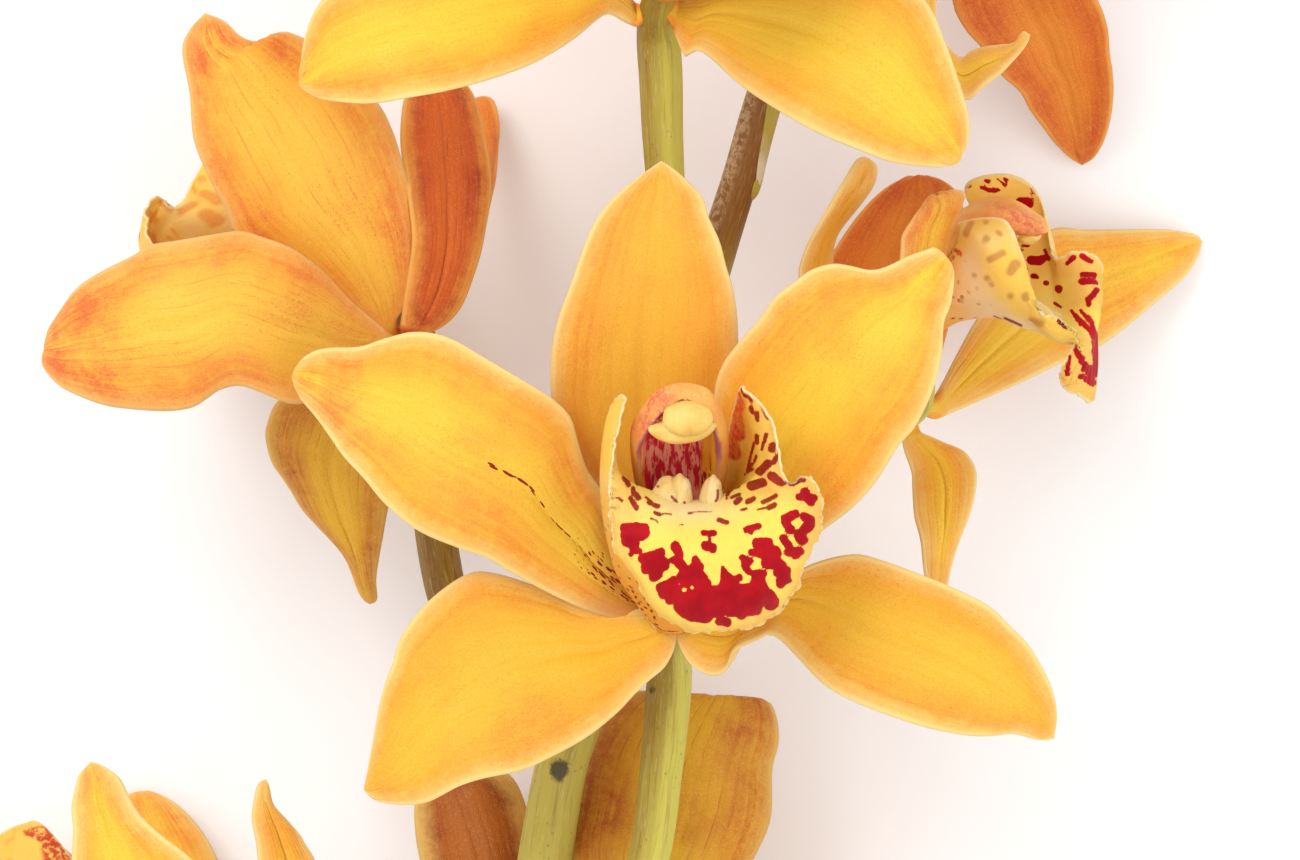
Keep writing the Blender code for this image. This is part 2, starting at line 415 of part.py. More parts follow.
STEM_GREEN = material("stem", (0.22, 0.17, 0.07), 0.5)
STALK_GREEN = material("flower_stalk", (0.50, 0.47, 0.15), 0.5)
SEPAL = material("sepal", (0.86, 0.38, 0.06), 0.45)
PETAL = material("petal", (0.90, 0.44, 0.08), 0.45)
LIP_M = material("lip", (0.92, 0.66, 0.18), 0.5)

pts, radii = curve_samples(world([p[:3] for p in STALK]), [p[3] for p in STALK], 30)
rod_object("stem", pts, radii, STEM_GREEN)
for flower in FLOWERS:
    pts, radii = stalk_path(flower)
    pts, radii = curve_samples(pts, radii, 14)
    rod_object(flower + "_stalk_column", pts, radii, STALK_GREEN)
    for name in TEPALS:
        sheet_object(flower + "_" + name, tepal_grid(flower, name), TEPAL_T, PETAL if "petal" in name else SEPAL)
    sheet_object(flower + "_lip", lip_grid(flower), LIP_T, LIP_M)
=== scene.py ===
# Looks of the cymbidium stem: golden-orange tepals, spotted lips, columns, stalks,
# a pale surface, soft light and a camera that looks straight down.
import json
import math
import bpy
import bmesh
import numpy as np
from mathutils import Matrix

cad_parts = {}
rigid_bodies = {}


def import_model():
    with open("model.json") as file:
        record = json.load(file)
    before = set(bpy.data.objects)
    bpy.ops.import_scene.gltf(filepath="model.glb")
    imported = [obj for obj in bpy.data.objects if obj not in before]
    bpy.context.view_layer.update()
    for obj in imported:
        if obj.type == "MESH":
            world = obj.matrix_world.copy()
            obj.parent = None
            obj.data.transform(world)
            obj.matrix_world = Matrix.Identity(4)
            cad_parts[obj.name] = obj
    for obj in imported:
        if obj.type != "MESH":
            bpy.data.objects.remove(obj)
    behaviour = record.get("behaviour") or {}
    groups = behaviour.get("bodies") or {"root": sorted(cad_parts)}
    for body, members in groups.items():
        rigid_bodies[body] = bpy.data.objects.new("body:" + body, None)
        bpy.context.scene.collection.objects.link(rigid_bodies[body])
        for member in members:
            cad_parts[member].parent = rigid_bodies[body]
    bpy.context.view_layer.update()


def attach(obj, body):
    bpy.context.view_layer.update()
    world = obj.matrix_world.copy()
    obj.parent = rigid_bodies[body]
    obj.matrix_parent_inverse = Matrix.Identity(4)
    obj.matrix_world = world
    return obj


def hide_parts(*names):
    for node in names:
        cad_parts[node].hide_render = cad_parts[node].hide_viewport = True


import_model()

UNIT = 0.000152          # one drawing unit in metres, at the level of the front flower
VIEW_H = 1.10            # eye distance of the drawing's perspective above that level, m
LEVEL = 0.090            # height of that level, m
PAGE_A, PAGE_B = 650.0, 430.0   # page centre, drawing units
SHIFT_X, SHIFT_Y = 0.01257, 0.12163   # moves the whole stem so that its box is centred, m
TEPAL_T = 0.0013         # thickness of a tepal, m
LIP_T = 0.0014           # thickness of the lip, m
ROWS, COLS = 7, 4        # tepal grid
GAP = 0.35               # between the stem and a flower stalk, mm
STEM_R_BASE, STEM_R_MID, STEM_R_TOP = 4.9, 4.2, 2.4     # stalk radius, mm


def point(a, b, h):
    """Drawing point to metres, through the drawing's perspective."""
    k = (VIEW_H + LEVEL - h * 0.001) / VIEW_H
    return ((a - PAGE_A) * UNIT * k, (PAGE_B - b) * UNIT * k, h * 0.001)


def world(pts):
    return np.array([point(*p) for p in np.asarray(pts, float).reshape(-1, 3)]).reshape(np.shape(pts))


def dense(pts, per=16):
    """Catmull-Rom curve through the points."""
    p = np.asarray(pts, float)
    if len(p) == 2:
        w = np.linspace(0, 1, per + 1)[:, None]
        return p[0] * (1 - w) + p[1] * w
    q = np.vstack([2 * p[0] - p[1], p, 2 * p[-1] - p[-2]])
    out = []
    for i in range(1, len(q) - 2):
        w = np.linspace(0, 1, per, endpoint=False)[:, None]
        a, b, c, d = q[i - 1], q[i], q[i + 1], q[i + 2]
        out.append(0.5 * (2 * b + (c - a) * w + (2 * a - 5 * b + 4 * c - d) * w ** 2
                          + (3 * b - a - 3 * c + d) * w ** 3))
    out.append(p[-1][None])
    return np.vstack(out)


def resample(pts, ts):
    """Points at these fractions of the curve's length."""
    c = dense(pts)
    run = np.concatenate([[0], np.cumsum(np.linalg.norm(np.diff(c, axis=0), axis=1))])
    run /= run[-1]
    return np.stack([np.interp(ts, run, c[:, k]) for k in range(c.shape[1])], axis=1)


def profile(values, ts):
    v = np.asarray(values, float)
    c = dense(np.stack([np.linspace(0, 1, len(v)), v], axis=1))
    return np.interp(ts, c[:, 0], c[:, 1])


def sheet(left, right, h, hl=(0,), hr=(0,), mid=None, rows=ROWS, cols=COLS):
    """Grid (rows+1, cols+1, 3) in drawing units of a leaf-like sheet between two margins."""
    ts = np.linspace(0, 1, rows + 1)
    us = np.linspace(-1, 1, cols + 1)
    lo, ro = resample(left, ts), resample(right, ts)
    mo = resample(mid, ts) if mid is not None else 0.5 * (lo + ro)
    hm = profile(h, ts)
    ext = lambda v: profile(v, ts) if len(v) > 1 else np.full(len(ts), float(v[0]))
    taper = np.minimum(1, (1 - ts) * 4)
    lo = np.column_stack([lo, hm + ext(hl) * taper])
    ro = np.column_stack([ro, hm + ext(hr) * taper])
    mo = np.column_stack([mo, hm])
    g = [lo * (u * (u - 1) / 2) + mo * (1 - u * u) + ro * (u * (u + 1) / 2) for u in us]
    return np.stack(g, axis=1)


def lattice(rows_of_points, rows, cols):
    """Smooth grid through a small lattice of drawing points."""
    a = np.asarray(rows_of_points, float)
    ts, us = np.linspace(0, 1, rows + 1), np.linspace(0, 1, cols + 1)

    def along(arr, w):
        n = len(arr)
        x = np.linspace(0, 1, n)
        q = np.concatenate([2 * arr[:1] - arr[1:2], arr, 2 * arr[-1:] - arr[-2:-1]])
        out = []
        for t in w:
            i = min(int(t * (n - 1)), n - 2)
            f = t * (n - 1) - i
            p, b, c, d = q[i], q[i + 1], q[i + 2], q[i + 3]
            out.append(0.5 * (2 * b + (c - p) * f + (2 * p - 5 * b + 4 * c - d) * f * f
                              + (3 * b - p - 3 * c + d) * f ** 3))
        return np.stack(out)

    g = along(a, ts)
    return np.swapaxes(along(np.swapaxes(g, 0, 1), us), 0, 1)


# ---- the front flower, which the others follow where they are hidden ----------------
F1 = dict(
    joint=(671, 636, 58),
    dorsal_sepal=dict(
        left=[(660, 586), (640, 530), (600, 470), (566, 430), (551, 399), (550, 373), (552, 344), (558, 317), (568, 288), (583, 247), (596, 220), (614, 197), (637, 178), (652, 167), (661, 161)],
        right=[(690, 586), (705, 520), (722, 450), (735, 390), (738, 338), (734, 297), (725, 264), (719, 241), (708, 217), (702, 198), (690, 184), (678, 173), (668, 165), (661, 161)],
        h=(55, 61, 66, 70, 73, 74, 72), hl=(0, 2, 3, 3), hr=(0, 2, 3, 3)),
    petal_left=dict(
        left=[(634, 618), (618, 620), (586, 610), (551, 594), (510, 572), (487, 558), (459, 548), (417, 530), (385, 505), (363, 479), (344, 457), (331, 438), (315, 416), (299, 397), (293, 382), (293, 376)],
        right=[(640, 582), (628, 550), (610, 518), (602, 492), (586, 467), (577, 438), (570, 416), (551, 397), (522, 379), (484, 358), (449, 339), (417, 333), (385, 339), (360, 347), (330, 348), (312, 352), (299, 362), (293, 376)],
        h=(61, 67, 73, 77, 79, 78, 74), hl=(0, 1, 2, 2), hr=(0, 2, 3, 3)),
    petal_right=dict(
        left=[(706, 556), (704, 500), (708, 440), (714, 396), (717, 379), (725, 361), (743, 338), (761, 317), (775, 297), (796, 281), (813, 270), (834, 265), (852, 267), (869, 270), (884, 267), (907, 256), (925, 250), (935, 248), (948, 259)],
        right=[(714, 594), (745, 585), (785, 558), (822, 531), (852, 508), (875, 482), (898, 446), (916, 426), (934, 391), (942, 355), (944, 323), (951, 303), (954, 276), (948, 259)],
        h=(61, 68, 75, 80, 83, 83, 80), hl=(0, 2, 3, 2), hr=(0, 2, 3, 2)),
    sepal_left=dict(
        left=[(655, 664), (648, 680), (634, 699), (612, 719), (586, 738), (551, 757), (522, 770), (484, 778), (459, 786), (430, 801), (408, 805), (385, 803), (372, 798), (364, 790)],
        right=[(641, 634), (634, 624), (605, 617), (573, 604), (541, 588), (510, 577), (487, 572), (471, 573), (449, 585), (423, 607), (401, 636), (392, 664), (382, 693), (372, 747), (364, 790)],
        h=(55, 60, 65, 68, 69, 66, 60), hl=(0, 1, 2, 2), hr=(0, 1, 2, 2)),
    sepal_right=dict(
        left=[(705, 624), (740, 605), (780, 580), (806, 567), (822, 561), (842, 556), (862, 555), (893, 564), (921, 574), (949, 585), (988, 606), (1010, 627), (1027, 644), (1041, 666), (1053, 692), (1057, 717), (1054, 739)],
        right=[(692, 662), (705, 670), (716, 675), (724, 670), (735, 651), (761, 640), (769, 636), (780, 641), (797, 658), (820, 682), (842, 696), (879, 711), (921, 724), (963, 734), (991, 736), (1013, 734), (1038, 740), (1054, 739)],
        h=(55, 61, 67, 71, 73, 72, 68), hl=(0, 2, 3, 2), hr=(0, 2, 3, 2)),
)
LIP = [
    [(656, 642, 62), (663, 644, 62.5), (672, 645, 63), (682, 643, 62.5), (690, 640, 62)],
    [(634, 600, 66), (652, 606, 68), (674, 608, 70), (698, 604, 68), (716, 596, 66)],
    [(612, 540, 74), (638, 560, 76), (682, 568, 77), (724, 556, 76), (752, 538, 74)],
    [(604, 470, 84), (622, 520, 82), (690, 530, 82.5), (747, 505, 82), (774, 455, 84)],
    [(622, 398, 90), (611, 470, 87), (694, 508, 85), (759, 480, 87), (747, 388, 92)],
    [(610, 482, 94), (630, 492, 91.5), (697, 503, 90), (775, 483, 93), (797, 480, 95)],
    [(609, 498, 95), (642, 508, 97), (704, 518, 97), (775, 500, 98), (822, 502, 95)],
    [(611, 530, 94), (650, 540, 100), (710, 560, 101), (772, 545, 101), (816, 535, 95)],
    [(637, 577, 90), (662, 580, 97), (713, 598, 99), (758, 588, 98), (799, 580, 91)],
    [(660, 612, 88), (684, 629, 90), (712, 633, 92), (744, 629, 91), (780, 610, 88)],
]
# the lip that is seen from the side, in its own place
LIP_SIDE = [
    [(926, 392, 45), (931, 400, 46), (938, 408, 44), (943, 411, 40), (944, 408, 37), (942, 400, 36), (936, 390, 36.5)],
    [(930, 335, 46), (935, 348, 48), (942, 360, 48), (950, 366, 45), (955, 358, 40), (955, 344, 38), (950, 327, 38.5)],
    [(945, 268, 50), (951, 290, 52.5), (956, 312, 53.5), (966, 322, 48), (974, 306, 41), (974, 286, 38), (968, 262, 39)],
    [(957, 232, 53), (968, 262, 58), (982, 296, 59), (996, 314, 50), (1004, 298, 41.5), (1002, 272, 38), (978, 226, 39)],
    [(962, 222, 55), (986, 246, 63.5), (1006, 292, 62.5), (1016, 322, 51), (1024, 300, 42), (1024, 262, 38.5), (978, 177, 42)],
    [(1003, 219, 63), (1010, 262, 65), (1026, 302, 62), (1036, 327, 51), (1042, 303, 43), (1042, 262, 39.5), (1020, 179, 43.5)],
    [(1018, 246, 64), (1026, 284, 64), (1038, 318, 60), (1050, 333, 51.5), (1055, 308, 44), (1053, 264, 40), (1042, 205, 43.5)],
    [(1037, 306, 62), (1044, 318, 61.5), (1051, 332, 58.5), (1064, 338, 53), (1070, 315, 47), (1064, 280, 42.5), (1053, 254, 42.5)],
    [(1056, 317, 61), (1062, 325, 61), (1070, 340, 58), (1082, 337, 54), (1088, 308, 48.5), (1084, 274, 44.5), (1074, 251, 43.5)],
    [(1069, 326, 60), (1074, 334, 60), (1080, 346, 58), (1089, 344, 54.5), (1095, 318, 49.5), (1099, 287, 45), (1097, 257, 43.5)],
    [(1077, 338, 58.5), (1079, 347, 58), (1083, 356, 56.5), (1088, 358, 54), (1091, 338, 50.5), (1094, 308, 46), (1102, 277, 43.5)],
    [(1064, 361, 56), (1070, 367, 56), (1077, 373, 55), (1084, 376, 53), (1090, 370, 50.5), (1094, 350, 47), (1092, 320, 44.5)],
    [(1059, 378, 54), (1064, 388, 53.5), (1072, 393, 53), (1081, 397, 51.5), (1088, 403, 49.5), (1093, 398, 47), (1096, 372, 45.5)],
]
# column: the end of the flower stalk above the joint, with its radius in mm
COLUMN = [(671, 636, 56, 2.5), (673, 606, 61.5, 2.4), (676, 570, 67, 2.6), (679, 530, 73, 3.0), (682, 480, 81, 4.0), (685, 430, 88, 5.2), (686, 404, 91, 4.6)]

# Turns (degrees, about z, then y, then x) and joints of the flowers; "own" tepals have their
# own outlines, the rest follow the front flower.
FLOWERS = {
    "flower1": dict(joint=F1["joint"], turn=(0, 0, 0), own={}, stalk=[(526, 1080, 2.6), (566, 1010, 46, 2.8), (612, 935, 48.5, 3.0), (648, 860, 48.5, 3.3), (661, 770, 48, 3.4), (668, 700, 48, 3.5), (670, 662, 50, 3.3)]),
    "flower2": dict(joint=(657, 5, 60), turn=(-14, 0, 0),
        own=dict(
            sepal_left=dict(
                left=[(634, 26), (625, 22), (612, 14), (600, 18), (570, 42), (530, 65), (480, 82), (430, 95), (380, 103), (340, 102), (315, 97), (302, 89), (300, 82)],
                right=[(632, 0), (600, -28), (550, -50), (500, -58), (450, -50), (400, -36), (360, -22), (322, 0), (304, 40), (300, 82)],
                h=(57, 64, 71, 76, 78, 76, 72), hl=(0, 2, 3, 2), hr=(0, -3, 0, 2)),
            sepal_right=dict(
                left=[(686, -4), (730, -22), (780, -40), (830, -44), (880, -32), (925, 0), (945, 45), (960, 85), (969, 115), (968, 140), (960, 162)],
                right=[(676, 34), (685, 56), (693, 52), (700, 51), (715, 62), (740, 85), (775, 108), (810, 128), (850, 148), (890, 162), (930, 167), (948, 166), (960, 162)],
                h=(58, 66, 73, 78, 80, 79, 76), hl=(0, 2, 3, 2), hr=(0, 2, 3, 2)),
        ),
        stalk=[(694, 340, 2.5), (682, 262, 50.5, 2.9), (668, 200, 51.5, 3.1), (663, 140, 51.5, 3.2), (661, 80, 51.5, 3.3), (658, 35, 52.5, 3.2)]),
    "flower3": dict(joint=(408, 335, 44), turn=(10, -128, -20),
        own=dict(
            dorsal_sepal=dict(
                left=[(400, 306), (408, 300), (421, 270), (427, 241), (429, 207), (426, 161), (416, 129), (405, 96), (412, 84), (436, 78)],
                right=[(424, 312), (445, 318), (462, 303), (478, 259), (485, 223), (490, 191), (489, 161), (481, 119), (469, 88), (452, 78), (436, 78)],
                h=(49, 49.5, 50, 49, 47, 45), hl=(1, 4, 5, 4), hr=(-1, -4, -5, -4)),
            petal_left=dict(
                left=[(374, 332), (341, 305), (295, 270), (242, 240), (226, 209), (210, 179), (194, 138), (190, 92), (183, 50), (190, 30), (205, 13)],
                right=[(396, 312), (405, 290), (410, 250), (405, 195), (400, 165), (390, 130), (378, 103), (345, 62), (298, 36), (280, 32), (268, 40), (255, 42), (240, 36), (225, 22), (205, 13)],
                h=(50, 54, 58, 61, 63, 63), hl=(0, -1, -2, -2), hr=(0, -2, -4, -3)),
            petal_right=dict(
                left=[(424, 304), (440, 270), (455, 220), (462, 170), (464, 130), (468, 105), (476, 100)],
                right=[(434, 318), (460, 290), (480, 240), (494, 190), (499, 150), (499, 125), (495, 104), (486, 99), (476, 100)],
                h=(40, 34, 28, 19, 10, 1.6), hl=(0, 0, 0, 0), hr=(0, -4, -3, 0)),
            sepal_left=dict(
                left=[(384, 356), (350, 392), (300, 403), (280, 400), (260, 392), (240, 386), (220, 390), (205, 400), (190, 408), (160, 411), (115, 407), (85, 398), (60, 385), (45, 365), (45, 350)],
                right=[(388, 332), (375, 322), (350, 300), (325, 272), (295, 250), (265, 238), (240, 231), (210, 235), (180, 240), (150, 245), (135, 255), (105, 272), (80, 290), (60, 315), (50, 332), (45, 350)],
                h=(54, 60, 66, 69, 68, 62, 54), hl=(0, -2, -4, -3), hr=(0, -1, -3, -2)),
            sepal_right=dict(
                left=[(404, 366), (350, 390), (300, 396), (278, 401), (268, 422), (266, 438), (272, 463), (282, 480), (294, 501), (302, 512), (316, 525), (330, 539), (346, 560), (361, 595), (370, 604)],
                right=[(424, 370), (418, 400), (400, 460), (388, 509), (383, 537), (379, 558), (376, 580), (377, 599), (370, 604)],
                h=(41, 39, 36, 33, 30, 27), hl=(0, -2, -4, -2), hr=(0, 0, 1, 0)),
        ),
        stalk=[(585, 700, 2.6), (548, 686, 43, 2.8), (508, 666, 43.5, 3.0), (474, 640, 44, 3.1), (451, 604, 45, 3.2), (440, 560, 45.5, 3.2), (431, 490, 46, 3.3), (424, 410, 46.5, 3.2), (417, 365, 46, 2.9)]),
    "flower4": dict(joint=(915, 405, 38), turn=(0, 58, 0),
        own=dict(
            dorsal_sepal=dict(
                left=[(902, 376), (860, 350), (815, 310), (799, 279), (810, 247), (831, 203), (846, 176), (857, 159), (868, 158)],
                right=[(914, 372), (885, 330), (845, 290), (832, 262), (835, 235), (852, 209), (872, 185), (876, 168), (868, 158)],
                h=(46, 50, 54, 56, 56, 54), hl=(0, 3, 4, 3), hr=(0, -3, -4, -3)),
            petal_left=dict(
                left=[(916, 372), (905, 330), (896, 290), (901, 253), (904, 232), (922, 206), (935, 197)],
                right=[(930, 372), (938, 330), (944, 290), (950, 240), (962, 210), (966, 193), (950, 190), (935, 197)],
                h=(50, 55, 59, 61, 61), hl=(0, 3, 4, 2), hr=(0, -2, -3, -2)),
            petal_right=dict(
                left=[(922, 372), (880, 330), (835, 290), (825, 267), (834, 250), (852, 223), (875, 197), (898, 182), (919, 176)],
                right=[(938, 366), (962, 320), (980, 270), (984, 225), (970, 195), (945, 180), (919, 176)],
                h=(34, 33, 31, 29, 27), hl=(0, 2, 3, 2), hr=(0, -2, -4, -3)),
            sepal_left=dict(
                left=[(902, 440), (904, 450), (911, 470), (912, 485), (914, 515), (919, 535), (923, 560), (927, 590), (936, 604)],
                right=[(926, 436), (942, 441), (962, 450), (973, 463), (977, 478), (974, 500), (968, 520), (957, 545), (951, 568), (945, 592), (936, 604)],
                h=(40, 44, 48, 50, 50, 47), hl=(0, 1, 2, 1), hr=(0, -1, -2, -1)),
            sepal_right=dict(
                left=[(938, 392), (970, 330), (1010, 270), (1047, 232), (1084, 230), (1125, 229), (1165, 229), (1186, 232), (1197, 235), (1202, 242)],
                right=[(940, 418), (961, 409), (1002, 391), (1033, 377), (1059, 364), (1097, 348), (1125, 328), (1155, 303), (1182, 279), (1194, 262), (1202, 242)],
                h=(33, 28, 21, 14, 7, 1.4), hl=(0, -1, -2, 0), hr=(0, 0, 1, 0)),
        ),
        stalk=[(636, 510, 2.6), (700, 470, 42, 2.8), (770, 452, 41, 3.0), (840, 438, 39, 3.1), (890, 418, 38, 2.9)],
        column=[(915, 405, 36.5, 2.5), (921, 378, 39, 2.4), (932, 338, 42, 2.4), (949, 295, 45, 2.6), (974, 256, 48, 3.0), (1003, 228, 50, 3.4), (1020, 221, 51, 3.0)],
        lip=LIP_SIDE),
    "flower5": dict(joint=(985, -150, 40), turn=(20, 42, 0),
        own=dict(
            sepal_right=dict(
                left=[(978, -116), (958, -60), (952, -20), (955, 10), (967, 32), (980, 46), (1002, 76), (1014, 86), (1023, 96), (1030, 110), (1041, 125), (1054, 142), (1071, 158), (1082, 165)],
                right=[(1002, -118), (1050, -80), (1085, -35), (1098, 0), (1103, 12), (1108, 31), (1110, 54), (1113, 71), (1114, 94), (1110, 121), (1103, 143), (1094, 157), (1082, 165)],
                h=(37, 33, 27, 19, 10, 1.4), hl=(0, 2, 3, 2), hr=(0, 1, 2, 1)),
            sepal_left=dict(
                left=[(954, -106), (915, -60), (905, 0), (925, 60), (950, 90), (967, 100), (984, 87), (1000, 75), (1014, 60), (1027, 44), (1030, 35)],
                right=[(972, -98), (955, -60), (938, -10), (938, 30), (959, 57), (971, 51), (984, 46), (1000, 44), (1014, 42), (1023, 31), (1030, 35)],
                h=(42, 46, 49, 50, 50, 48), hl=(0, 2, 3, 2), hr=(0, -1, -2, -1)),
            petal_left=dict(
                left=[(950, -168), (900, -170), (840, -180), (780, -215), (745, -260), (735, -310), (742, -345)],
                right=[(962, -182), (930, -230), (890, -290), (840, -340), (790, -360), (755, -360), (742, -345)],
                h=(43, 49, 54, 57, 58, 55), hl=(0, 1, 2, 1), hr=(0, 1, 2, 1)),
        ),
        stalk=[(803, -40, 2.3), (850, -66, 44.5, 2.6), (900, -100, 41, 2.9), (950, -132, 39, 2.8)]),
    "flower6": dict(joint=(650, 996, 46.0), turn=(-8, 170, 0),
        own=dict(
            dorsal_sepal=dict(
                left=[(642, 984), (610, 940), (585, 900), (572, 860), (578, 818), (590, 781), (606, 762), (628, 744), (650, 726), (672, 713), (692, 708), (716, 705)],
                right=[(666, 984), (700, 940), (735, 890), (757, 850), (771, 815), (773, 769), (779, 745), (778, 722), (770, 702), (752, 699), (735, 703), (716, 705)],
                h=(49.8, 43, 37, 32, 28, 24), hl=(0, -4, -5, -3), hr=(0, -3, -5, -3)),
            petal_right=dict(
                left=[(616, 1036), (560, 1040), (500, 1005), (455, 940), (424, 870), (414, 810), (424, 776), (450, 765)],
                right=[(620, 1013), (585, 1014), (556, 980), (544, 920), (536, 860), (528, 810), (512, 777), (485, 764), (450, 765)],
                h=(44, 29.5, 24, 20, 17, 14), hl=(0, -3, -4, -3), hr=(0, -2, -3, -2)),
            petal_left=dict(
                left=[(684, 1006), (740, 960), (810, 925), (880, 915), (950, 930), (1000, 960), (1012, 985)],
                right=[(684, 1030), (740, 1050), (810, 1060), (880, 1050), (950, 1030), (995, 1005), (1012, 985)],
                h=(46, 49, 51, 50, 47, 42), hl=(0, -1, -2, -1), hr=(0, -1, -2, -1)),
            sepal_left=dict(
                left=[(682, 1048), (750, 1070), (810, 1110), (860, 1170), (885, 1230), (890, 1275), (884, 1290)],
                right=[(664, 1062), (690, 1120), (730, 1180), (780, 1235), (830, 1275), (865, 1292), (884, 1290)],
                h=(46, 47, 47, 44, 40, 34), hl=(0, -1, -2, -1), hr=(0, -1, -2, -1)),
            sepal_right=dict(
                left=[(628, 1054), (575, 1066), (500, 1084), (435, 1120), (390, 1170), (370, 1230), (366, 1270), (372, 1290)],
                right=[(640, 1070), (606, 1118), (560, 1170), (510, 1225), (450, 1265), (400, 1287), (372, 1290)],
                h=(43, 29, 21, 14, 7, 1.4), hl=(0, -3, -2, 0), hr=(0, -1, -2, 0)),
        ),
        stalk=[(510, 1390, 2.6), (548, 1320, 46, 2.9), (600, 1215, 51, 3.0), (638, 1110, 53, 3.0), (650, 1046, 51.6, 2.9)]),
    "flower7": dict(joint=(190, 1080, 38), turn=(18, -118, 0),
        own=dict(
            petal_right=dict(
                left=[(160, 1062), (120, 1010), (85, 950), (72, 900), (72, 859), (74, 829), (72, 807), (76, 784), (80, 773), (91, 762)],
                right=[(180, 1046), (205, 1000), (212, 940), (205, 885), (193, 862), (184, 853), (162, 836), (141, 816), (129, 797), (120, 779), (103, 766), (91, 762)],
                h=(45, 54, 58, 58, 56, 52), hl=(0, 1, 2, 1), hr=(0, 1, 2, 1)),
            dorsal_sepal=dict(
                left=[(198, 1042), (220, 1000), (245, 940), (256, 890), (257, 859), (255, 836), (252, 818), (254, 799), (258, 784), (266, 779)],
                right=[(214, 1046), (262, 1000), (310, 950), (325, 900), (315, 862), (306, 847), (299, 834), (288, 821), (274, 805), (270, 788), (266, 779)],
                h=(37, 38, 38, 38, 37, 34), hl=(0, 1, 2, 1), hr=(0, -2, -3, -2)),
            petal_left=dict(
                left=[(206, 1044), (170, 980), (140, 920), (125, 870), (118, 830), (124, 800), (140, 792)],
                right=[(220, 1036), (235, 980), (236, 920), (222, 870), (200, 830), (170, 800), (140, 792)],
                h=(31, 25, 19, 12, 6, 1.4), hl=(0, -1, -2, 0), hr=(0, -1, -2, 0)),
            sepal_right=dict(
                left=[(162, 1098), (110, 1130), (60, 1180), (28, 1240), (18, 1300), (24, 1350), (36, 1372)],
                right=[(178, 1116), (172, 1180), (150, 1240), (120, 1300), (85, 1350), (55, 1372), (36, 1372)],
                h=(44, 49, 51, 48, 42, 34), hl=(0, 1, 2, 1), hr=(0, 1, 2, 1)),
            sepal_left=dict(
                left=[(194, 1122), (170, 1180), (160, 1240), (165, 1300), (180, 1350), (200, 1380)],
                right=[(212, 1116), (240, 1180), (255, 1240), (252, 1300), (232, 1350), (200, 1380)],
                h=(31, 25, 18, 11, 5, 1.4), hl=(0, -1, -2, 0), hr=(0, -1, -2, 0)),
        ),
        stalk=[(501, 1520, 2.6), (470, 1450, 37, 2.8), (400, 1340, 37, 3.0), (310, 1220, 37, 3.1), (240, 1124, 37, 2.9)]),
}
STALK = [(505, 2900, 4.9, 4.9), (504, 2650, 10, 4.8), (502, 2350, 17, 4.7), (500, 2050, 24, 4.6), (500, 1800, 30, 4.5), (503, 1550, 34.5, 4.5), (508, 1300, 35, 4.4), (517, 1100, 35, 4.4), (531, 960, 35, 4.3), (545, 860, 35.5, 4.3), (561, 768, 36, 4.2), (586, 690, 36.5, 4.0), (608, 610, 37, 3.8), (634, 520, 38, 3.6), (662, 430, 39, 3.4), (691, 340, 40, 3.2), (719, 245, 41, 3.0), (741, 175, 42, 2.9), (761, 105, 43, 2.8), (782, 40, 44, 2.7), (797, -20, 44.5, 2.5), (812, -80, 45, 2.0), (820, -112, 45, 1.0)]


def turning(turn):
    az, ay, ax = (math.radians(v) for v in turn)
    cz, sz, cy, sy, cx, sx = math.cos(az), math.sin(az), math.cos(ay), math.sin(ay), math.cos(ax), math.sin(ax)
    rz = np.array([[cz, -sz, 0], [sz, cz, 0], [0, 0, 1]])
    ry = np.array([[cy, 0, sy], [0, 1, 0], [-sy, 0, cy]])
    rx = np.array([[1, 0, 0], [0, cx, -sx], [0, sx, cx]])
    return rx @ ry @ rz


def placed(grid_world, flower):
    """Front flower's metres carried to another flower's joint and turn."""
    f = FLOWERS[flower]
    j1, j = np.array(point(*F1["joint"])), np.array(point(*f["joint"]))
    return (grid_world - j1) @ turning(f["turn"]).T + j


TEPALS = ("dorsal_sepal", "petal_left", "petal_right", "sepal_left", "sepal_right")


def tepal_grid(flower, name, rows=ROWS, cols=COLS):
    own = FLOWERS[flower]["own"].get(name)
    if own:
        return world(sheet(rows=rows, cols=cols, **own))
    return placed(world(sheet(rows=rows, cols=cols, **F1[name])), flower)


def lip_grid(flower, rows=9, cols=6):
    if "lip" in FLOWERS[flower]:
        return world(lattice(FLOWERS[flower]["lip"], rows + 3, cols))
    return placed(world(lattice(LIP, rows, cols)), flower)


def stalk_start(first, towards):
    """Where a flower stalk leaves the stem, GAP clear of its surface."""
    pts = dense(world([p[:3] for p in STALK]))
    rad = dense([[p[3]] for p in STALK])[:, 0]
    b = np.array(point(first[0], first[1], 38))[1]
    i = int(np.argmin(abs(pts[:, 1] - b)))
    axis = pts[i + 1] - pts[i - 1]
    axis = axis / np.linalg.norm(axis)
    way = np.array(towards) - pts[i]
    way = way / np.linalg.norm(way)
    along = abs(float(way @ axis))
    across = math.sqrt(1 - along * along)
    return pts[i] + way * (rad[i] + GAP + first[2] * along) * 0.001 / across


def stalk_path(flower):
    """Points in metres and radii in mm from the stem to the tip of the column."""
    f = FLOWERS[flower]
    low = [np.array(point(*p[:3])) for p in f["stalk"][1:]]
    low.insert(0, stalk_start(f["stalk"][0], low[0]))
    own = f.get("column")
    col = [np.array(point(*p[:3])) for p in own] if own else [placed(np.array(point(*p[:3])), flower) for p in COLUMN]
    return np.array(low + col), [p[-1] for p in f["stalk"]] + [p[3] for p in own or COLUMN]



OFFSET = np.array([SHIFT_X, SHIFT_Y, 0.0])
rng = np.random.default_rng(7)


def smooth(x, lo, hi):
    t = np.clip((np.asarray(x, float) - lo) / (hi - lo), 0, 1)
    return t * t * (3 - 2 * t)


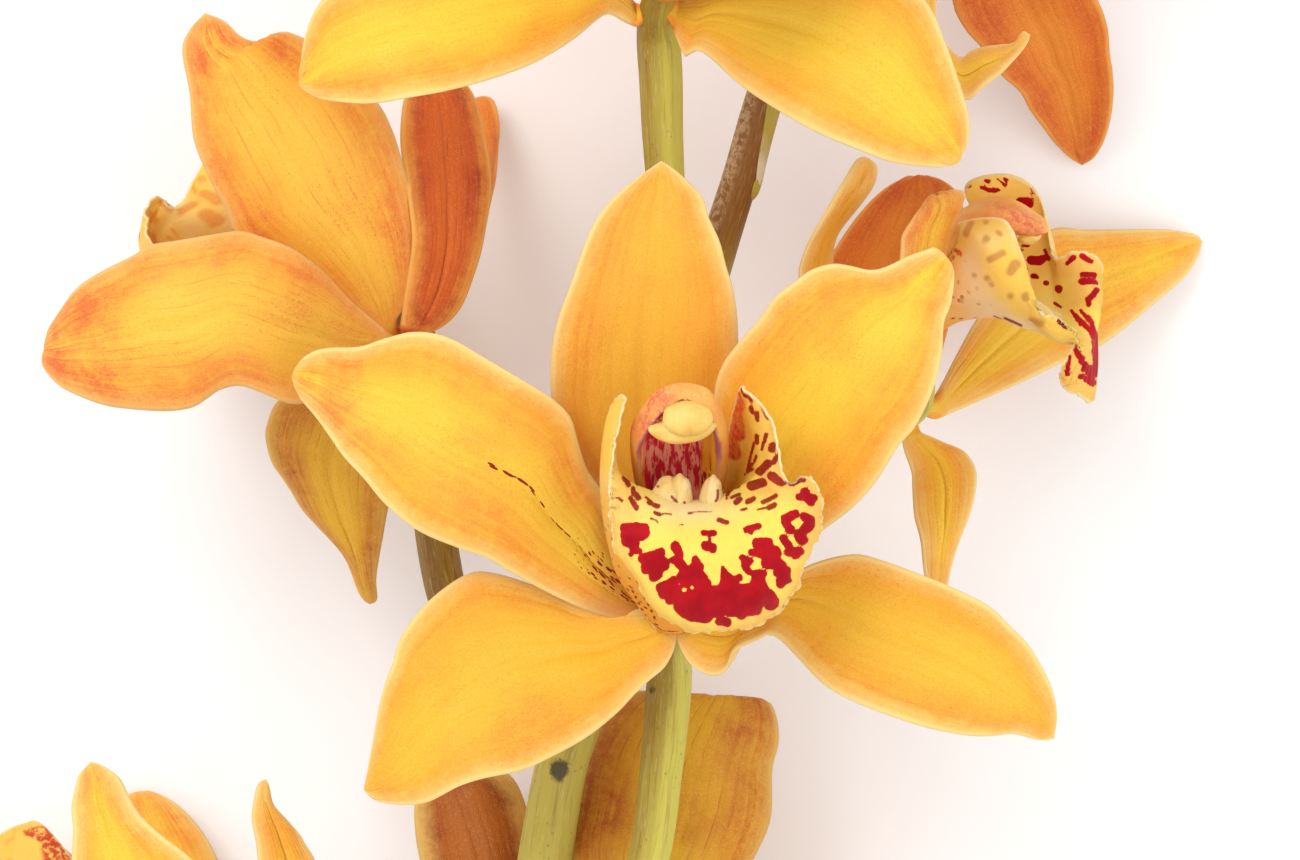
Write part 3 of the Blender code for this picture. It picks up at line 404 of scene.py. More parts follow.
def waves(x, seed, n=5, base=1.0):
    """Smooth repeatable wobble of a value, about -1 to 1."""
    r = np.random.default_rng(seed)
    out = 0
    for i in range(n):
        f = base * (1 + i * 0.8) * r.uniform(0.8, 1.2)
        out = out + np.sin(x * f + r.uniform(0, 6.28)) / (1 + 0.7 * i)
    return out / 1.8


# ---- meshes ---------------------------------------------------------------------------
def normals_of(g):
    du = np.gradient(g, axis=1)
    dv = np.gradient(g, axis=0)
    n = np.cross(du, dv)
    ln = np.linalg.norm(n, axis=2, keepdims=True)
    n = n / np.maximum(ln, 1e-12)
    bad = ln[..., 0] < 1e-11
    for r in range(g.shape[0]):
        if bad[r].any():
            n[r][bad[r]] = n[max(r - 1, 0)].mean(0)
    return n / np.maximum(np.linalg.norm(n, axis=2, keepdims=True), 1e-9)


def mesh_object(name, verts, faces, mats, attrs=None, uv=None, weld=2e-6):
    me = bpy.data.meshes.new(name)
    me.from_pydata(np.asarray(verts).tolist(), [], [list(map(int, f)) for f in faces])
    me.update()
    for key, val in (attrs or {}).items():
        at = me.attributes.new(key, "FLOAT", "POINT")
        at.data.foreach_set("value", np.asarray(val, np.float32).ravel())
    if uv is not None:
        layer = me.uv_layers.new(name="leaf")
        idx = np.zeros(len(me.loops), np.int32)
        me.loops.foreach_get("vertex_index", idx)
        layer.data.foreach_set("uv", np.asarray(uv, np.float32).reshape(-1, 2)[idx].ravel())
    bm = bmesh.new()
    bm.from_mesh(me)
    if weld:
        bmesh.ops.remove_doubles(bm, verts=bm.verts, dist=weld)
    bmesh.ops.recalc_face_normals(bm, faces=bm.faces)
    if bm.calc_volume(signed=True) < 0:
        bmesh.ops.reverse_faces(bm, faces=bm.faces)
    bm.to_mesh(me)
    bm.free()
    for p in me.polygons:
        p.use_smooth = True
    for m in mats:
        me.materials.append(m)
    ob = bpy.data.objects.new(name, me)
    bpy.context.scene.collection.objects.link(ob)
    return ob


def shell_parts(g, thick, up=1):
    """Closed thick sheet from a grid: vertices, faces, and which side each vertex is on (0 = the side that normals of the drawing face)."""
    R, C = g.shape[0], g.shape[1]
    n = normals_of(g) * up
    top, bot = g + n * thick[..., None] / 2, g - n * thick[..., None] / 2
    idx = np.arange(R * C).reshape(R, C)
    low = idx + R * C
    f = []
    a, b, c, d = idx[:-1, :-1], idx[:-1, 1:], idx[1:, 1:], idx[1:, :-1]
    f.append(np.stack([a, b, c, d], -1).reshape(-1, 4))
    a, b, c, d = low[:-1, :-1], low[:-1, 1:], low[1:, 1:], low[1:, :-1]
    f.append(np.stack([d, c, b, a], -1).reshape(-1, 4))
    ring = np.concatenate([idx[0, :-1], idx[:-1, -1], idx[-1, :0:-1], idx[:0:-1, 0]])
    nxt = np.roll(ring, -1)
    f.append(np.stack([nxt, ring, ring + R * C, nxt + R * C], -1))
    side = np.concatenate([np.zeros(R * C), np.ones(R * C)])
    return np.concatenate([top.reshape(-1, 3), bot.reshape(-1, 3)]), np.concatenate(f), side


def joined(name, parts, mats):
    """One mesh from several (verts, faces, attrs, uv); each part is a closed skin of its own."""
    keys = sorted({k for p in parts for k in p[2]})
    vs, fs, at, uvs, off = [], [], {k: [] for k in keys}, [], 0
    for v, f, a, uv in parts:
        vs.append(v)
        fs += [[int(i) + off for i in face] for face in f]
        for k in keys:
            at[k].append(np.asarray(a.get(k, np.zeros(len(v))), float).ravel())
        uvs.append(np.asarray(uv, float).reshape(-1, 2))
        off += len(v)
    return mesh_object(name, np.concatenate(vs), fs, mats, {k: np.concatenate(v) for k, v in at.items()}, np.concatenate(uvs), weld=1e-6)


def tube_parts(pts, radii, sides=32, rings=160, ridges=0, ridge=0.0, seed=1, flat=None, round_end=True):
    """Closed rod along points (m) with radii (mm); v runs along it, u round it."""
    both = resample(np.column_stack([pts, np.asarray(radii, float) * 0.001]), np.linspace(0, 1, rings))
    c, r = both[:, :3], both[:, 3]
    t = np.gradient(c, axis=0)
    t /= np.linalg.norm(t, axis=1, keepdims=True)
    n = np.zeros_like(c)
    ref = np.array([0, 0, 1.0])
    n[0] = ref - t[0] * (ref @ t[0])
    n[0] /= np.linalg.norm(n[0])
    for i in range(1, len(c)):
        n[i] = n[i - 1] - t[i] * (n[i - 1] @ t[i])
        n[i] /= np.linalg.norm(n[i])
    b = np.cross(t, n)
    th = np.linspace(0, 2 * math.pi, sides, endpoint=False)
    run = np.concatenate([[0], np.cumsum(np.linalg.norm(np.diff(c, axis=0), axis=1))])
    s = run[:, None]
    rad = r[:, None] * (1 + 0.02 * waves(s * 90 + th[None] * 2, seed))
    if ridges:
        twist = s * 4.0
        rad = rad * (1 + ridge * (np.abs(np.sin((th[None] + twist) * ridges / 2)) ** 0.7 - 0.6))
    v = c[:, None] + n[:, None] * (np.cos(th)[None, :, None] * rad[..., None]) + b[:, None] * (np.sin(th)[None, :, None] * rad[..., None])
    V = v.reshape(-1, 3)
    idx = np.arange(rings * sides).reshape(rings, sides)
    a, bb = idx[:-1], idx[1:]
    f = np.stack([a, np.roll(a, -1, 1), np.roll(bb, -1, 1), bb], -1).reshape(-1, 4).tolist()
    base, tip = len(V), len(V) + 1
    V = np.concatenate([V, [c[0]], [c[-1]]])
    f += [[base, int(idx[0, (j + 1) % sides]), int(idx[0, j])] for j in range(sides)]
    f += [[tip, int(idx[-1, j]), int(idx[-1, (j + 1) % sides])] for j in range(sides)]
    vv = np.repeat(run / run[-1], sides)
    uu = np.tile(th / (2 * math.pi), rings)
    uv = np.column_stack([np.concatenate([np.abs(uu * 2 - 1), [0.5, 0.5]]), np.concatenate([vv, [0, 1]])])
    length = np.concatenate([np.repeat(run, sides), [0, run[-1]]]) * 1000
    cut = np.concatenate([np.zeros(rings * sides), [1, 1]])
    ang = np.concatenate([np.tile(th, rings), [0, 0]])
    return V, f, {"along": uv[:, 1], "len": length, "cut": cut, "ang": ang}, uv


def blob_parts(centre, axes, squash=None, seed=3, seg=28, rings=20, bump=0.06):
    """Closed rounded lump: centre (m), axes = three vectors (m)."""
    A = np.array(axes, float)
    th = np.linspace(0, 2 * math.pi, seg, endpoint=False)
    ph = np.linspace(0, math.pi, rings + 1)[1:-1]
    d = np.stack([np.outer(np.sin(ph), np.cos(th)), np.outer(np.sin(ph), np.sin(th)), np.outer(np.cos(ph), np.ones(seg))], -1)
    d = np.concatenate([d.reshape(-1, 3), [[0, 0, 1], [0, 0, -1]]])
    k = 1 + bump * (waves(d[:, 0] * 2.2 + d[:, 2], seed) * 0.6 + waves(d[:, 1] * 2.5 - d[:, 0], seed + 1) * 0.6)
    if squash is not None:
        k = k * squash(d)
    V = np.array(centre) + (d * k[:, None]) @ A
    n = (rings - 1) * seg
    idx = np.arange(n).reshape(rings - 1, seg)
    a, b = idx[:-1], idx[1:]
    f = np.stack([a, b, np.roll(b, -1, 1), np.roll(a, -1, 1)], -1).reshape(-1, 4).tolist()
    f += [[n, int(idx[0, j]), int(idx[0, (j + 1) % seg])] for j in range(seg)]
    f += [[n + 1, int(idx[-1, (j + 1) % seg]), int(idx[-1, j])] for j in range(seg)]
    uv = np.column_stack([d[:, 0] * 0.5 + 0.5, d[:, 2] * 0.5 + 0.5])
    return V, f, {}, uv


# ---- materials ------------------------------------------------------------------------
def lin(r, g, b, k=0.80):
    """Display colour as a surface colour under the studio light, which is brighter than white."""
    return tuple(k * (((c / 255 + 0.055) / 1.055) ** 2.4 if c > 10 else c / 255 / 12.92) for c in (r, g, b)) + (1.0,)


class Tree:
    def __init__(self, name):
        self.mat = bpy.data.materials.new(name)
        self.mat.use_nodes = True
        self.t = self.mat.node_tree
        self.bsdf = self.t.nodes["Principled BSDF"]
        self.out = self.t.nodes["Material Output"]

    def put(self, sock, val):
        if isinstance(val, bpy.types.NodeSocket):
            self.t.links.new(val, sock)
        elif val is not None:
            sock.default_value = val

    def math(self, op, a, b=None, c=None, clamp=False):
        n = self.t.nodes.new("ShaderNodeMath")
        n.operation = op
        n.use_clamp = clamp
        for i, x in enumerate((a, b, c)):
            if x is not None:
                self.put(n.inputs[i], x)
        return n.outputs[0]

    def step(self, x, lo, hi):
        n = self.t.nodes.new("ShaderNodeMapRange")
        n.interpolation_type = "SMOOTHSTEP"
        self.put(n.inputs["Value"], x)
        n.inputs["From Min"].default_value = lo
        n.inputs["From Max"].default_value = hi
        return n.outputs["Result"]

    def mix(self, fac, a, b, mode="MIX"):
        n = self.t.nodes.new("ShaderNodeMix")
        n.data_type = "RGBA"
        n.blend_type = mode
        self.put(n.inputs[0], fac)
        self.put(n.inputs[6], a)
        self.put(n.inputs[7], b)
        return n.outputs[2]

    def attr(self, name):
        n = self.t.nodes.new("ShaderNodeAttribute")
        n.attribute_name = name
        return n.outputs["Fac"]

    def uv(self):
        n = self.t.nodes.new("ShaderNodeUVMap")
        n.uv_map = "leaf"
        s = self.t.nodes.new("ShaderNodeSeparateXYZ")
        self.t.links.new(n.outputs[0], s.inputs[0])
        return s.outputs[0], s.outputs[1]

    def vec(self, x, y, z=0.0):
        n = self.t.nodes.new("ShaderNodeCombineXYZ")
        for i, q in enumerate((x, y, z)):
            self.put(n.inputs[i], q)
        return n.outputs[0]

    def obj(self):
        n = self.t.nodes.new("ShaderNodeTexCoord")
        return n.outputs["Object"]

    def noise(self, vec, scale, detail=2.0, rough=0.5, colour=False):
        n = self.t.nodes.new("ShaderNodeTexNoise")
        self.put(n.inputs["Vector"], vec)
        n.inputs["Scale"].default_value = scale
        n.inputs["Detail"].default_value = detail
        n.inputs["Roughness"].default_value = rough
        return n.outputs["Color" if colour else "Fac"]

    def cells(self, vec, scale, out="Distance", rnd=1.0):
        n = self.t.nodes.new("ShaderNodeTexVoronoi")
        self.put(n.inputs["Vector"], vec)
        n.inputs["Scale"].default_value = scale
        n.inputs["Randomness"].default_value = rnd
        return n.outputs[out]

    def bump(self, height, strength, distance):
        n = self.t.nodes.new("ShaderNodeBump")
        n.inputs["Strength"].default_value = strength
        n.inputs["Distance"].default_value = distance
        self.put(n.inputs["Height"], height)
        self.t.links.new(n.outputs[0], self.bsdf.inputs["Normal"])

    def flesh(self, colour, rough, sub=0.18, radius=(0.0022, 0.0009, 0.0003), spec=0.35, sheen=0.0):
        b = self.bsdf
        self.put(b.inputs["Base Color"], colour)
        self.put(b.inputs["Roughness"], rough)
        b.inputs["Specular IOR Level"].default_value = spec
        b.inputs["Subsurface Weight"].default_value = sub
        b.inputs["Subsurface Radius"].default_value = (1.0, 0.42, 0.14)
        b.inputs["Subsurface Scale"].default_value = radius[0]
        b.inputs["Sheen Weight"].default_value = sheen
        return self.mat


def tepal_material(name, mid, body, flush, edge, back, backflush, flush_amt=0.5, vein_amt=0.3, dots=0.0, seed=0.0, speck=0.5, tip=0.8, halo=lin(254, 208, 116), halo_w=3.4, halo_amt=0.7, base_amt=0.7):
    """Fleshy tepal. u runs across (0 to 1), v from base to tip; 'rim' is the distance to the margin in mm;
    'side' is 0 on the face that looks at the drawing's viewer and 1 behind."""
    t = Tree(name)
    u, v = t.uv()
    a = t.math("ABSOLUTE", t.math("SUBTRACT", t.math("MULTIPLY", u, 2.0), 1.0))
    rim, side = t.attr("rim"), t.attr("side")
    wide, long_ = t.attr("wide"), t.attr("long")
    ob = t.obj()
    cloud = t.noise(ob, 55 + seed, 2.0, 0.5)
    cloud2 = t.noise(ob, 130 + seed * 3, 3.0, 0.6)
    gran = t.noise(ob, 620 + seed * 9, 4.0, 0.72)
    spark = t.noise(ob, 3400, 2.0, 0.7)
    # streaks and veins follow the tepal from base to tip
    bend = t.math("MULTIPLY", t.math("SUBTRACT", t.noise(ob, 90, 1.0), 0.5), 0.05)
    uu = t.math("ADD", u, bend)
    streak = t.noise(t.vec(t.math("MULTIPLY", uu, 26.0), t.math("MULTIPLY", v, 2.6), seed), 1.0, 3.0, 0.6)
    fine = t.noise(t.vec(t.math("MULTIPLY", uu, 85.0), t.math("MULTIPLY", v, 9.0), seed + 4), 1.0, 3.0, 0.6)
    line = t.math("ABSOLUTE", t.math("SINE", t.math("MULTIPLY", uu, 3.14159 * 15)))
    vein = t.math("SUBTRACT", 1.0, t.step(line, 0.0, 0.34))
    broken = t.step(t.noise(t.vec(t.math("MULTIPLY", u, 9.0), t.math("MULTIPLY", v, 7.0), seed + 9), 1.0, 3.0, 0.6), 0.42, 0.66)
    vein = t.math("MULTIPLY", vein, broken)
    # colour across the tepal
    across = t.math("ADD", a, t.math("MULTIPLY", t.math("SUBTRACT", cloud, 0.5), 0.75))
    across = t.math("ADD", across, t.math("MULTIPLY", t.math("SUBTRACT", cloud2, 0.5), 0.35))
    col = t.mix(t.step(across, 0.05, 0.66), mid, body)
    red = t.math("MULTIPLY", t.step(across, 0.36, 0.84), flush_amt)
    red = t.math("ADD", red, t.math("MULTIPLY", t.step(v, 0.24, 0.0), flush_amt * base_amt))
    red = t.math("ADD", red, t.math("MULTIPLY", t.step(t.math("ADD", v, t.math("MULTIPLY", t.math("SUBTRACT", cloud2, 0.5), 0.2)), 0.70, 0.97), flush_amt * tip))
    red = t.math("ADD", red, t.math("MULTIPLY", t.step(cloud, 0.52, 0.70), flush_amt * 0.45))
    grained = t.math("ADD", t.math("MULTIPLY", streak, 0.45), t.math("ADD", t.math("MULTIPLY", cloud2, 0.25), t.math("MULTIPLY", gran, 0.30)))
    red = t.math("MULTIPLY", red, t.step(grained, 0.36, 0.60), clamp=True)
    col = t.mix(red, col, flush)
    col = t.mix(t.math("MULTIPLY", vein, vein_amt), col, flush)
    col = t.mix(t.math("MULTIPLY", t.step(fine, 0.52, 0.76), 0.20), col, flush)
    # paler, pinker zone inside the margin
    inside = t.math("ADD", rim, t.math("MULTIPLY", t.math("SUBTRACT", t.math("ADD", t.math("MULTIPLY", cloud2, 0.6), t.math("MULTIPLY", gran, 0.4)), 0.5), 4.2))
    col = t.mix(t.math("MULTIPLY", t.step(inside, halo_w, 0.4), halo_amt), col, halo)
    # small grains: red-brown ones in lines along the veins, bright and dark cells all over
    grain = t.cells(t.vec(t.math("MULTIPLY", u, wide), t.math("MULTIPLY", t.math("MULTIPLY", v, long_), 0.55), seed), 2.6)
    patch = t.step(t.math("ADD", t.math("MULTIPLY", streak, 0.6), t.math("MULTIPLY", cloud, 0.4)), 0.46, 0.60)
    gr = t.math("MULTIPLY", t.math("MULTIPLY", t.step(grain, 0.36, 0.14), patch), speck)
    col = t.mix(t.math("MULTIPLY", gr, 0.6), col, lin(206, 88, 44))
    col = t.mix(t.math("MULTIPLY", t.step(spark, 0.50, 0.66), 0.13), col, lin(255, 236, 150))
    col = t.mix(t.math("MULTIPLY", t.step(spark, 0.50, 0.34), 0.13), col, lin(226, 118, 46))
    # margin
    lip_edge = t.math("ADD", rim, t.math("MULTIPLY", t.math("SUBTRACT", cloud2, 0.5), 0.6))
    col = t.mix(t.math("MULTIPLY", t.step(lip_edge, 0.95, 0.15), 0.72), col, edge)
    if dots:
        # darker orange-brown at the foot: partly the petal's own flush, partly painted shade where the petal runs under
        # the lip
        col = t.mix(t.math("MULTIPLY", t.step(t.math("ADD", v, t.math("MULTIPLY", t.math("SUBTRACT", cloud2, 0.5), 0.12)), 0.20, 0.02), 0.62), col, lin(192, 100, 20))
        # dark dots along the midrib and in a cloud at the base
        um = t.math("MULTIPLY", t.math("SUBTRACT", u, 0.5), wide)
        vm = t.math("MULTIPLY", v, long_)
        cell = t.cells(t.vec(t.math("MULTIPLY", um, 1.25), t.math("MULTIPLY", vm, 0.62), 3.3), 1.0)
        row = t.math("MULTIPLY", t.step(t.math("ABSOLUTE", t.math("ADD", um, t.math("MULTIPLY", t.math("SUBTRACT", cloud2, 0.5), 0.8))), 0.75, 0.2), t.step(v, 0.58, 0.45))
        near = t.math("MULTIPLY", t.step(v, 0.26, 0.10), t.step(t.math("ABSOLUTE", um), 7.0, 2.0))
        amt = t.math("MAXIMUM", t.math("MULTIPLY", row, 0.52), t.math("MULTIPLY", near, 0.42))
        hit = t.step(t.math("SUBTRACT", amt, cell), -0.03, 0.04)
        col = t.mix(t.math("MULTIPLY", hit, dots), col, lin(150, 24, 14))
    # the other face: redder, with long streaks
    bk = t.mix(t.step(streak, 0.36, 0.66), back, backflush)
    bk = t.mix(t.math("MULTIPLY", vein, 0.45), bk, backflush)
    bk = t.mix(t.math("MULTIPLY", t.step(inside, 2.8, 0.3), 0.7), bk, edge)
    bk = t.mix(t.math("MULTIPLY", t.step(spark, 0.50, 0.66), 0.10), bk, lin(255, 226, 150))
    col = t.mix(t.step(side, 0.35, 0.65), col, bk)
    rough = t.math("ADD", 0.42, t.math("MULTIPLY", gran, 0.16))
    t.flesh(col, rough, sub=0.0, spec=0.22)
    h = t.math("ADD", t.math("MULTIPLY", line, 0.5), t.math("ADD", t.math("MULTIPLY", fine, 0.55), t.math("ADD", t.math("MULTIPLY", spark, 0.22), t.math("MULTIPLY", gran, 0.5))))
    t.bump(h, 0.18, 0.0006)
    return t.mat


CREAM = lin(255, 226, 150)
BACK = (lin(240, 160, 58), lin(214, 104, 40))
MATS = {}
MATS["gold"] = tepal_material("tepal_gold", lin(255, 209, 60), lin(254, 187, 54), lin(249, 146, 52), CREAM, *BACK, flush_amt=0.50, vein_amt=0.18, tip=1.3)
MATS["gold_dots"] = tepal_material("petal_gold_dotted", lin(255, 210, 64), lin(254, 187, 56), lin(247, 142, 50), CREAM, *BACK, flush_amt=0.58, vein_amt=0.20, dots=1.0, seed=2.0, tip=1.4, base_amt=1.3)
MATS["amber"] = tepal_material("tepal_amber", lin(253, 186, 54), lin(253, 178, 54), lin(246, 148, 52), CREAM, *BACK, flush_amt=0.42, vein_amt=0.16, seed=5.0)
MATS["honey"] = tepal_material("tepal_honey", lin(252, 194, 52), lin(250, 182, 50), lin(244, 148, 50), CREAM, *BACK, flush_amt=0.46, vein_amt=0.20, seed=6.0, speck=0.6)
MATS["veined"] = tepal_material("tepal_veined", lin(254, 197, 66), lin(252, 180, 60), lin(236, 118, 50), lin(254, 206, 128), lin(253, 190, 68), lin(232, 120, 56), flush_amt=0.72, vein_amt=0.55, seed=8.0, speck=0.9, tip=1.6, halo=lin(252, 180, 92))
# painted shade: a darker orange copy of the tepal colours, for the tepals that lie in shade
MATS["ember_painted_shade"] = tepal_material("tepal_ember_painted_shade", lin(244, 146, 44), lin(234, 124, 34), lin(214, 92, 30), lin(250, 178, 84), lin(222, 104, 38), lin(192, 76, 32), flush_amt=0.8, vein_amt=0.55, seed=11.0, speck=0.9, halo=lin(238, 136, 52), halo_w=2.4)
MATS["rust"] = tepal_material("tepal_rust", lin(234, 112, 40), lin(224, 98, 36), lin(176, 54, 30), lin(252, 194, 100), lin(232, 112, 38), lin(180, 56, 28), flush_amt=0.85, vein_amt=0.75, seed=14.0, speck=0.9, halo=lin(250, 164, 70), halo_w=3.6, halo_amt=0.85)
# painted shade: a darker copy of the tepal colours, for the lower flower's dorsal sepal and flower3's low sepal
MATS["umber_painted_shade"] = tepal_material("tepal_umber_painted_shade", lin(238, 184, 46), lin(224, 158, 42), lin(190, 96, 28), lin(244, 192, 100), lin(206, 124, 40), lin(176, 84, 26), flush_amt=0.8, vein_amt=0.6, seed=17.0, speck=0.8, halo=lin(226, 172, 78), halo_w=3.0)
# painted shade: a dark brown copy of the tepal colours, for the lower flower's petal that lies under the stem
MATS["bronze_painted_shade"] = tepal_material("tepal_bronze_painted_shade", lin(190, 104, 22), lin(176, 88, 16), lin(140, 56, 10), lin(246, 206, 118), lin(196, 108, 26), lin(160, 72, 16), flush_amt=0.9, vein_amt=0.8, seed=19.0, speck=0.8, halo=lin(238, 190, 100), halo_w=4.6, halo_amt=0.85)


# ---- tepals ---------------------------------------------------------------------------
LOOK = {
    "flower1_petal_left": "gold_dots", "flower1_petal_right": "gold", "flower1_dorsal_sepal": "amber",
    "flower1_sepal_left": "honey", "flower1_sepal_right": "honey",
    "flower2_sepal_left": "gold", "flower2_sepal_right": "gold", "flower2_petal_left": "gold_dots",
    "flower3_petal_left": "veined", "flower3_sepal_left": "veined", "flower3_dorsal_sepal": "rust", "flower3_sepal_right": "umber_painted_shade", "flower3_petal_right": "ember_painted_shade",
    "flower4_petal_right": "ember_painted_shade", "flower4_petal_left": "veined", "flower4_dorsal_sepal": "amber", "flower4_sepal_left": "gold", "flower4_sepal_right": "gold",
    "flower5_sepal_right": "ember_painted_shade", "flower5_sepal_left": "gold",
    "flower6_dorsal_sepal": "umber_painted_shade", "flower6_petal_right": "bronze_painted_shade",
}
DEFAULT = {"dorsal_sepal": "amber", "petal_left": "gold_dots", "petal_right": "gold", "sepal_left": "honey", "sepal_right": "veined"}
CLAW = 9
FINE = {"flower1": (84, 40), "flower2": (72, 34), "flower3": (72, 34), "flower4": (64, 32)}


OUTLINE = {
    "flower1_dorsal_sepal": dict(left=[(652, 586), (622, 530), (580, 470), (557, 430)] + F1["dorsal_sepal"]["left"][4:]),
    "flower1_sepal_left": dict(
        left=[(677, 634), (673, 652), (664, 668), (650, 680), (636, 693), (616, 714)] + F1["sepal_left"]["left"][4:],
        right=[(668, 610), (648, 608), (622, 607), (596, 603)] + F1["sepal_left"]["right"][3:], h=(60, 62.5, 65.5, 68, 69, 66, 60)),
    "flower1_sepal_right": dict(
        left=[(678, 610), (705, 606), (740, 600)] + F1["sepal_right"]["left"][2:],
        right=[(676, 634), (682, 652), (692, 666), (706, 674), (718, 675), (727, 668)] + F1["sepal_right"]["right"][4:], h=(60, 63, 67, 71, 73, 72, 68)),
    "flower3_petal_left": dict(right=[(398, 316), (413, 290), (417, 250), (411, 198), (403, 165), (392, 130)] + FLOWERS["flower3"]["own"]["petal_left"]["right"][6:]),
    "flower3_dorsal_sepal": dict(
        right=[(430, 333), (448, 323), (463, 303)] + FLOWERS["flower3"]["own"]["dorsal_sepal"]["right"][3:],
        left=[(400, 328), (404, 298), (411, 264), (412, 234), (407, 200), (401, 162), (400, 132), (404, 100), (412, 84), (436, 78)]),
    "flower6_dorsal_sepal": dict(left=[(642, 984), (610, 940), (582, 900), (567, 860), (567, 818), (573, 781), (585, 746), (603, 716), (626, 696), (650, 691), (676, 702), (696, 708), (716, 705)]),
    "flower4_petal_right": dict(right=[(938, 366), (950, 320), (958, 270), (962, 230), (960, 200), (945, 182), (919, 176)]),
}


def spec_of(flower, name):
    own = FLOWERS[flower]["own"].get(name)
    return dict(own or F1[name], **OUTLINE.get(flower + "_" + name, {})), bool(own)


def tepal(flower, name):
    spec, own = spec_of(flower, name)
    key = flower + "_" + name
    rows, cols = FINE.get(flower, (48, 24))
    # rows crowd towards the tip so that it is round
    base = sheet(rows=240, cols=cols, **spec)
    w = 1 - (1 - np.linspace(0, 1, rows + 1)) ** 1.35
    pos = w * 240
    i0 = np.minimum(pos.astype(int), 239)
    fr = (pos - i0)[:, None, None]
    g = base[i0] * (1 - fr) + base[i0 + 1] * fr
    m = world(g)
    # claw: the foot runs on to the flower's joint
    foot = np.array(point(*(FLOWERS[flower]["joint"] if own else F1["joint"])))
    away = m[0] - m[4]
    away /= np.maximum(np.linalg.norm(away, axis=1, keepdims=True), 1e-9)
    start = foot + (m[0] - foot) * 0.30
    reach = np.linalg.norm(m[0] - start, axis=1, keepdims=True)
    claw = [(1 - q) ** 2 * start + 2 * q * (1 - q) * (m[0] + away * reach * 0.45) + q * q * m[0] for q in np.linspace(0, 1, CLAW, endpoint=False)]
    m = np.concatenate([np.array(claw), m])
    w = np.concatenate([np.linspace(-0.04, 0, CLAW, endpoint=False), w])
    rows += CLAW
    v = w[:, None] * np.ones(cols + 1)[None]
    u = np.linspace(-1, 1, cols + 1)[None] * np.ones(rows + 1)[:, None]
    half = 0.5 * np.linalg.norm(m[:, -1] - m[:, 0], axis=1)[:, None] * 1000
    seed = sum(map(ord, key))
    n = normals_of(m)
    n = n * np.sign(n[..., 2].mean() or 1)
    length = np.linalg.norm(np.diff(m[:, cols // 2], axis=0), axis=1).sum() * 1000
    wav = waves(v * 7 + u * 0.8, seed, 4) * 0.00045 * np.abs(u) ** 2
    groove = -0.00045 * np.exp(-(u / 0.07) ** 2) * np.sin(np.clip(v * 1.1, 0, 1) * math.pi) ** 0.5
    lumps = 0.00016 * waves(u * 2.6 + v * 2, seed + 3, 4) + 0.00012 * waves(v * 11 - u * 3, seed + 5, 4)
    rib = 0.00005 * np.sin(u * 15 * math.pi / 2) * smooth(half, 1.0, 4.0)
    m = m + n * ((wav + groove + lumps + rib) * smooth(v, 0.0, 0.12) * smooth(1 - v, 0.0, 0.06))[..., None]
    thick = 0.00125 * (0.22 + 0.78 * np.clip(1 - np.abs(u) ** 3, 0, 1) ** 0.6) * (0.35 + 0.65 * smooth(1 - v, 0, 0.05)) * (1 + 0.5 * smooth(v, 0.15, 0.0))
    thick = np.minimum(thick, np.maximum(half * 0.001, 0.00025))
    V, f, side = shell_parts(m, thick, up=1)
    flip = 1 if (normals_of(m)[..., 2].mean() > 0) else -1
    if flip < 0:
        side = 1 - side
    clear = 1 - smooth(v, -0.03, 0.02)
    rim = np.concatenate([(half * (1 - np.abs(u)) * (1 - clear) + 6.0 * clear).ravel()] * 2)
    tipd = np.concatenate([((1 - v) * length).ravel()] * 2)
    rim = np.minimum(rim, tipd + 0.4)
    uv = np.column_stack([np.concatenate([(u * 0.5 + 0.5).ravel()] * 2), np.concatenate([v.ravel()] * 2)])
    if not own:
        V = placed(V, flower)
    V = V + OFFSET
    width = np.full(len(V), float(half.max() * 2))
    ob = mesh_object(key + "_skin", V, f, [MATS[LOOK.get(key, DEFAULT[name])]],
                     {"side": side, "rim": rim, "wide": width, "long": np.full(len(V), length)}, uv)
    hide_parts(key)
    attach(ob, "root")
    return ob


for flower in FLOWERS:
    for name in TEPALS:
        tepal(flower, name)

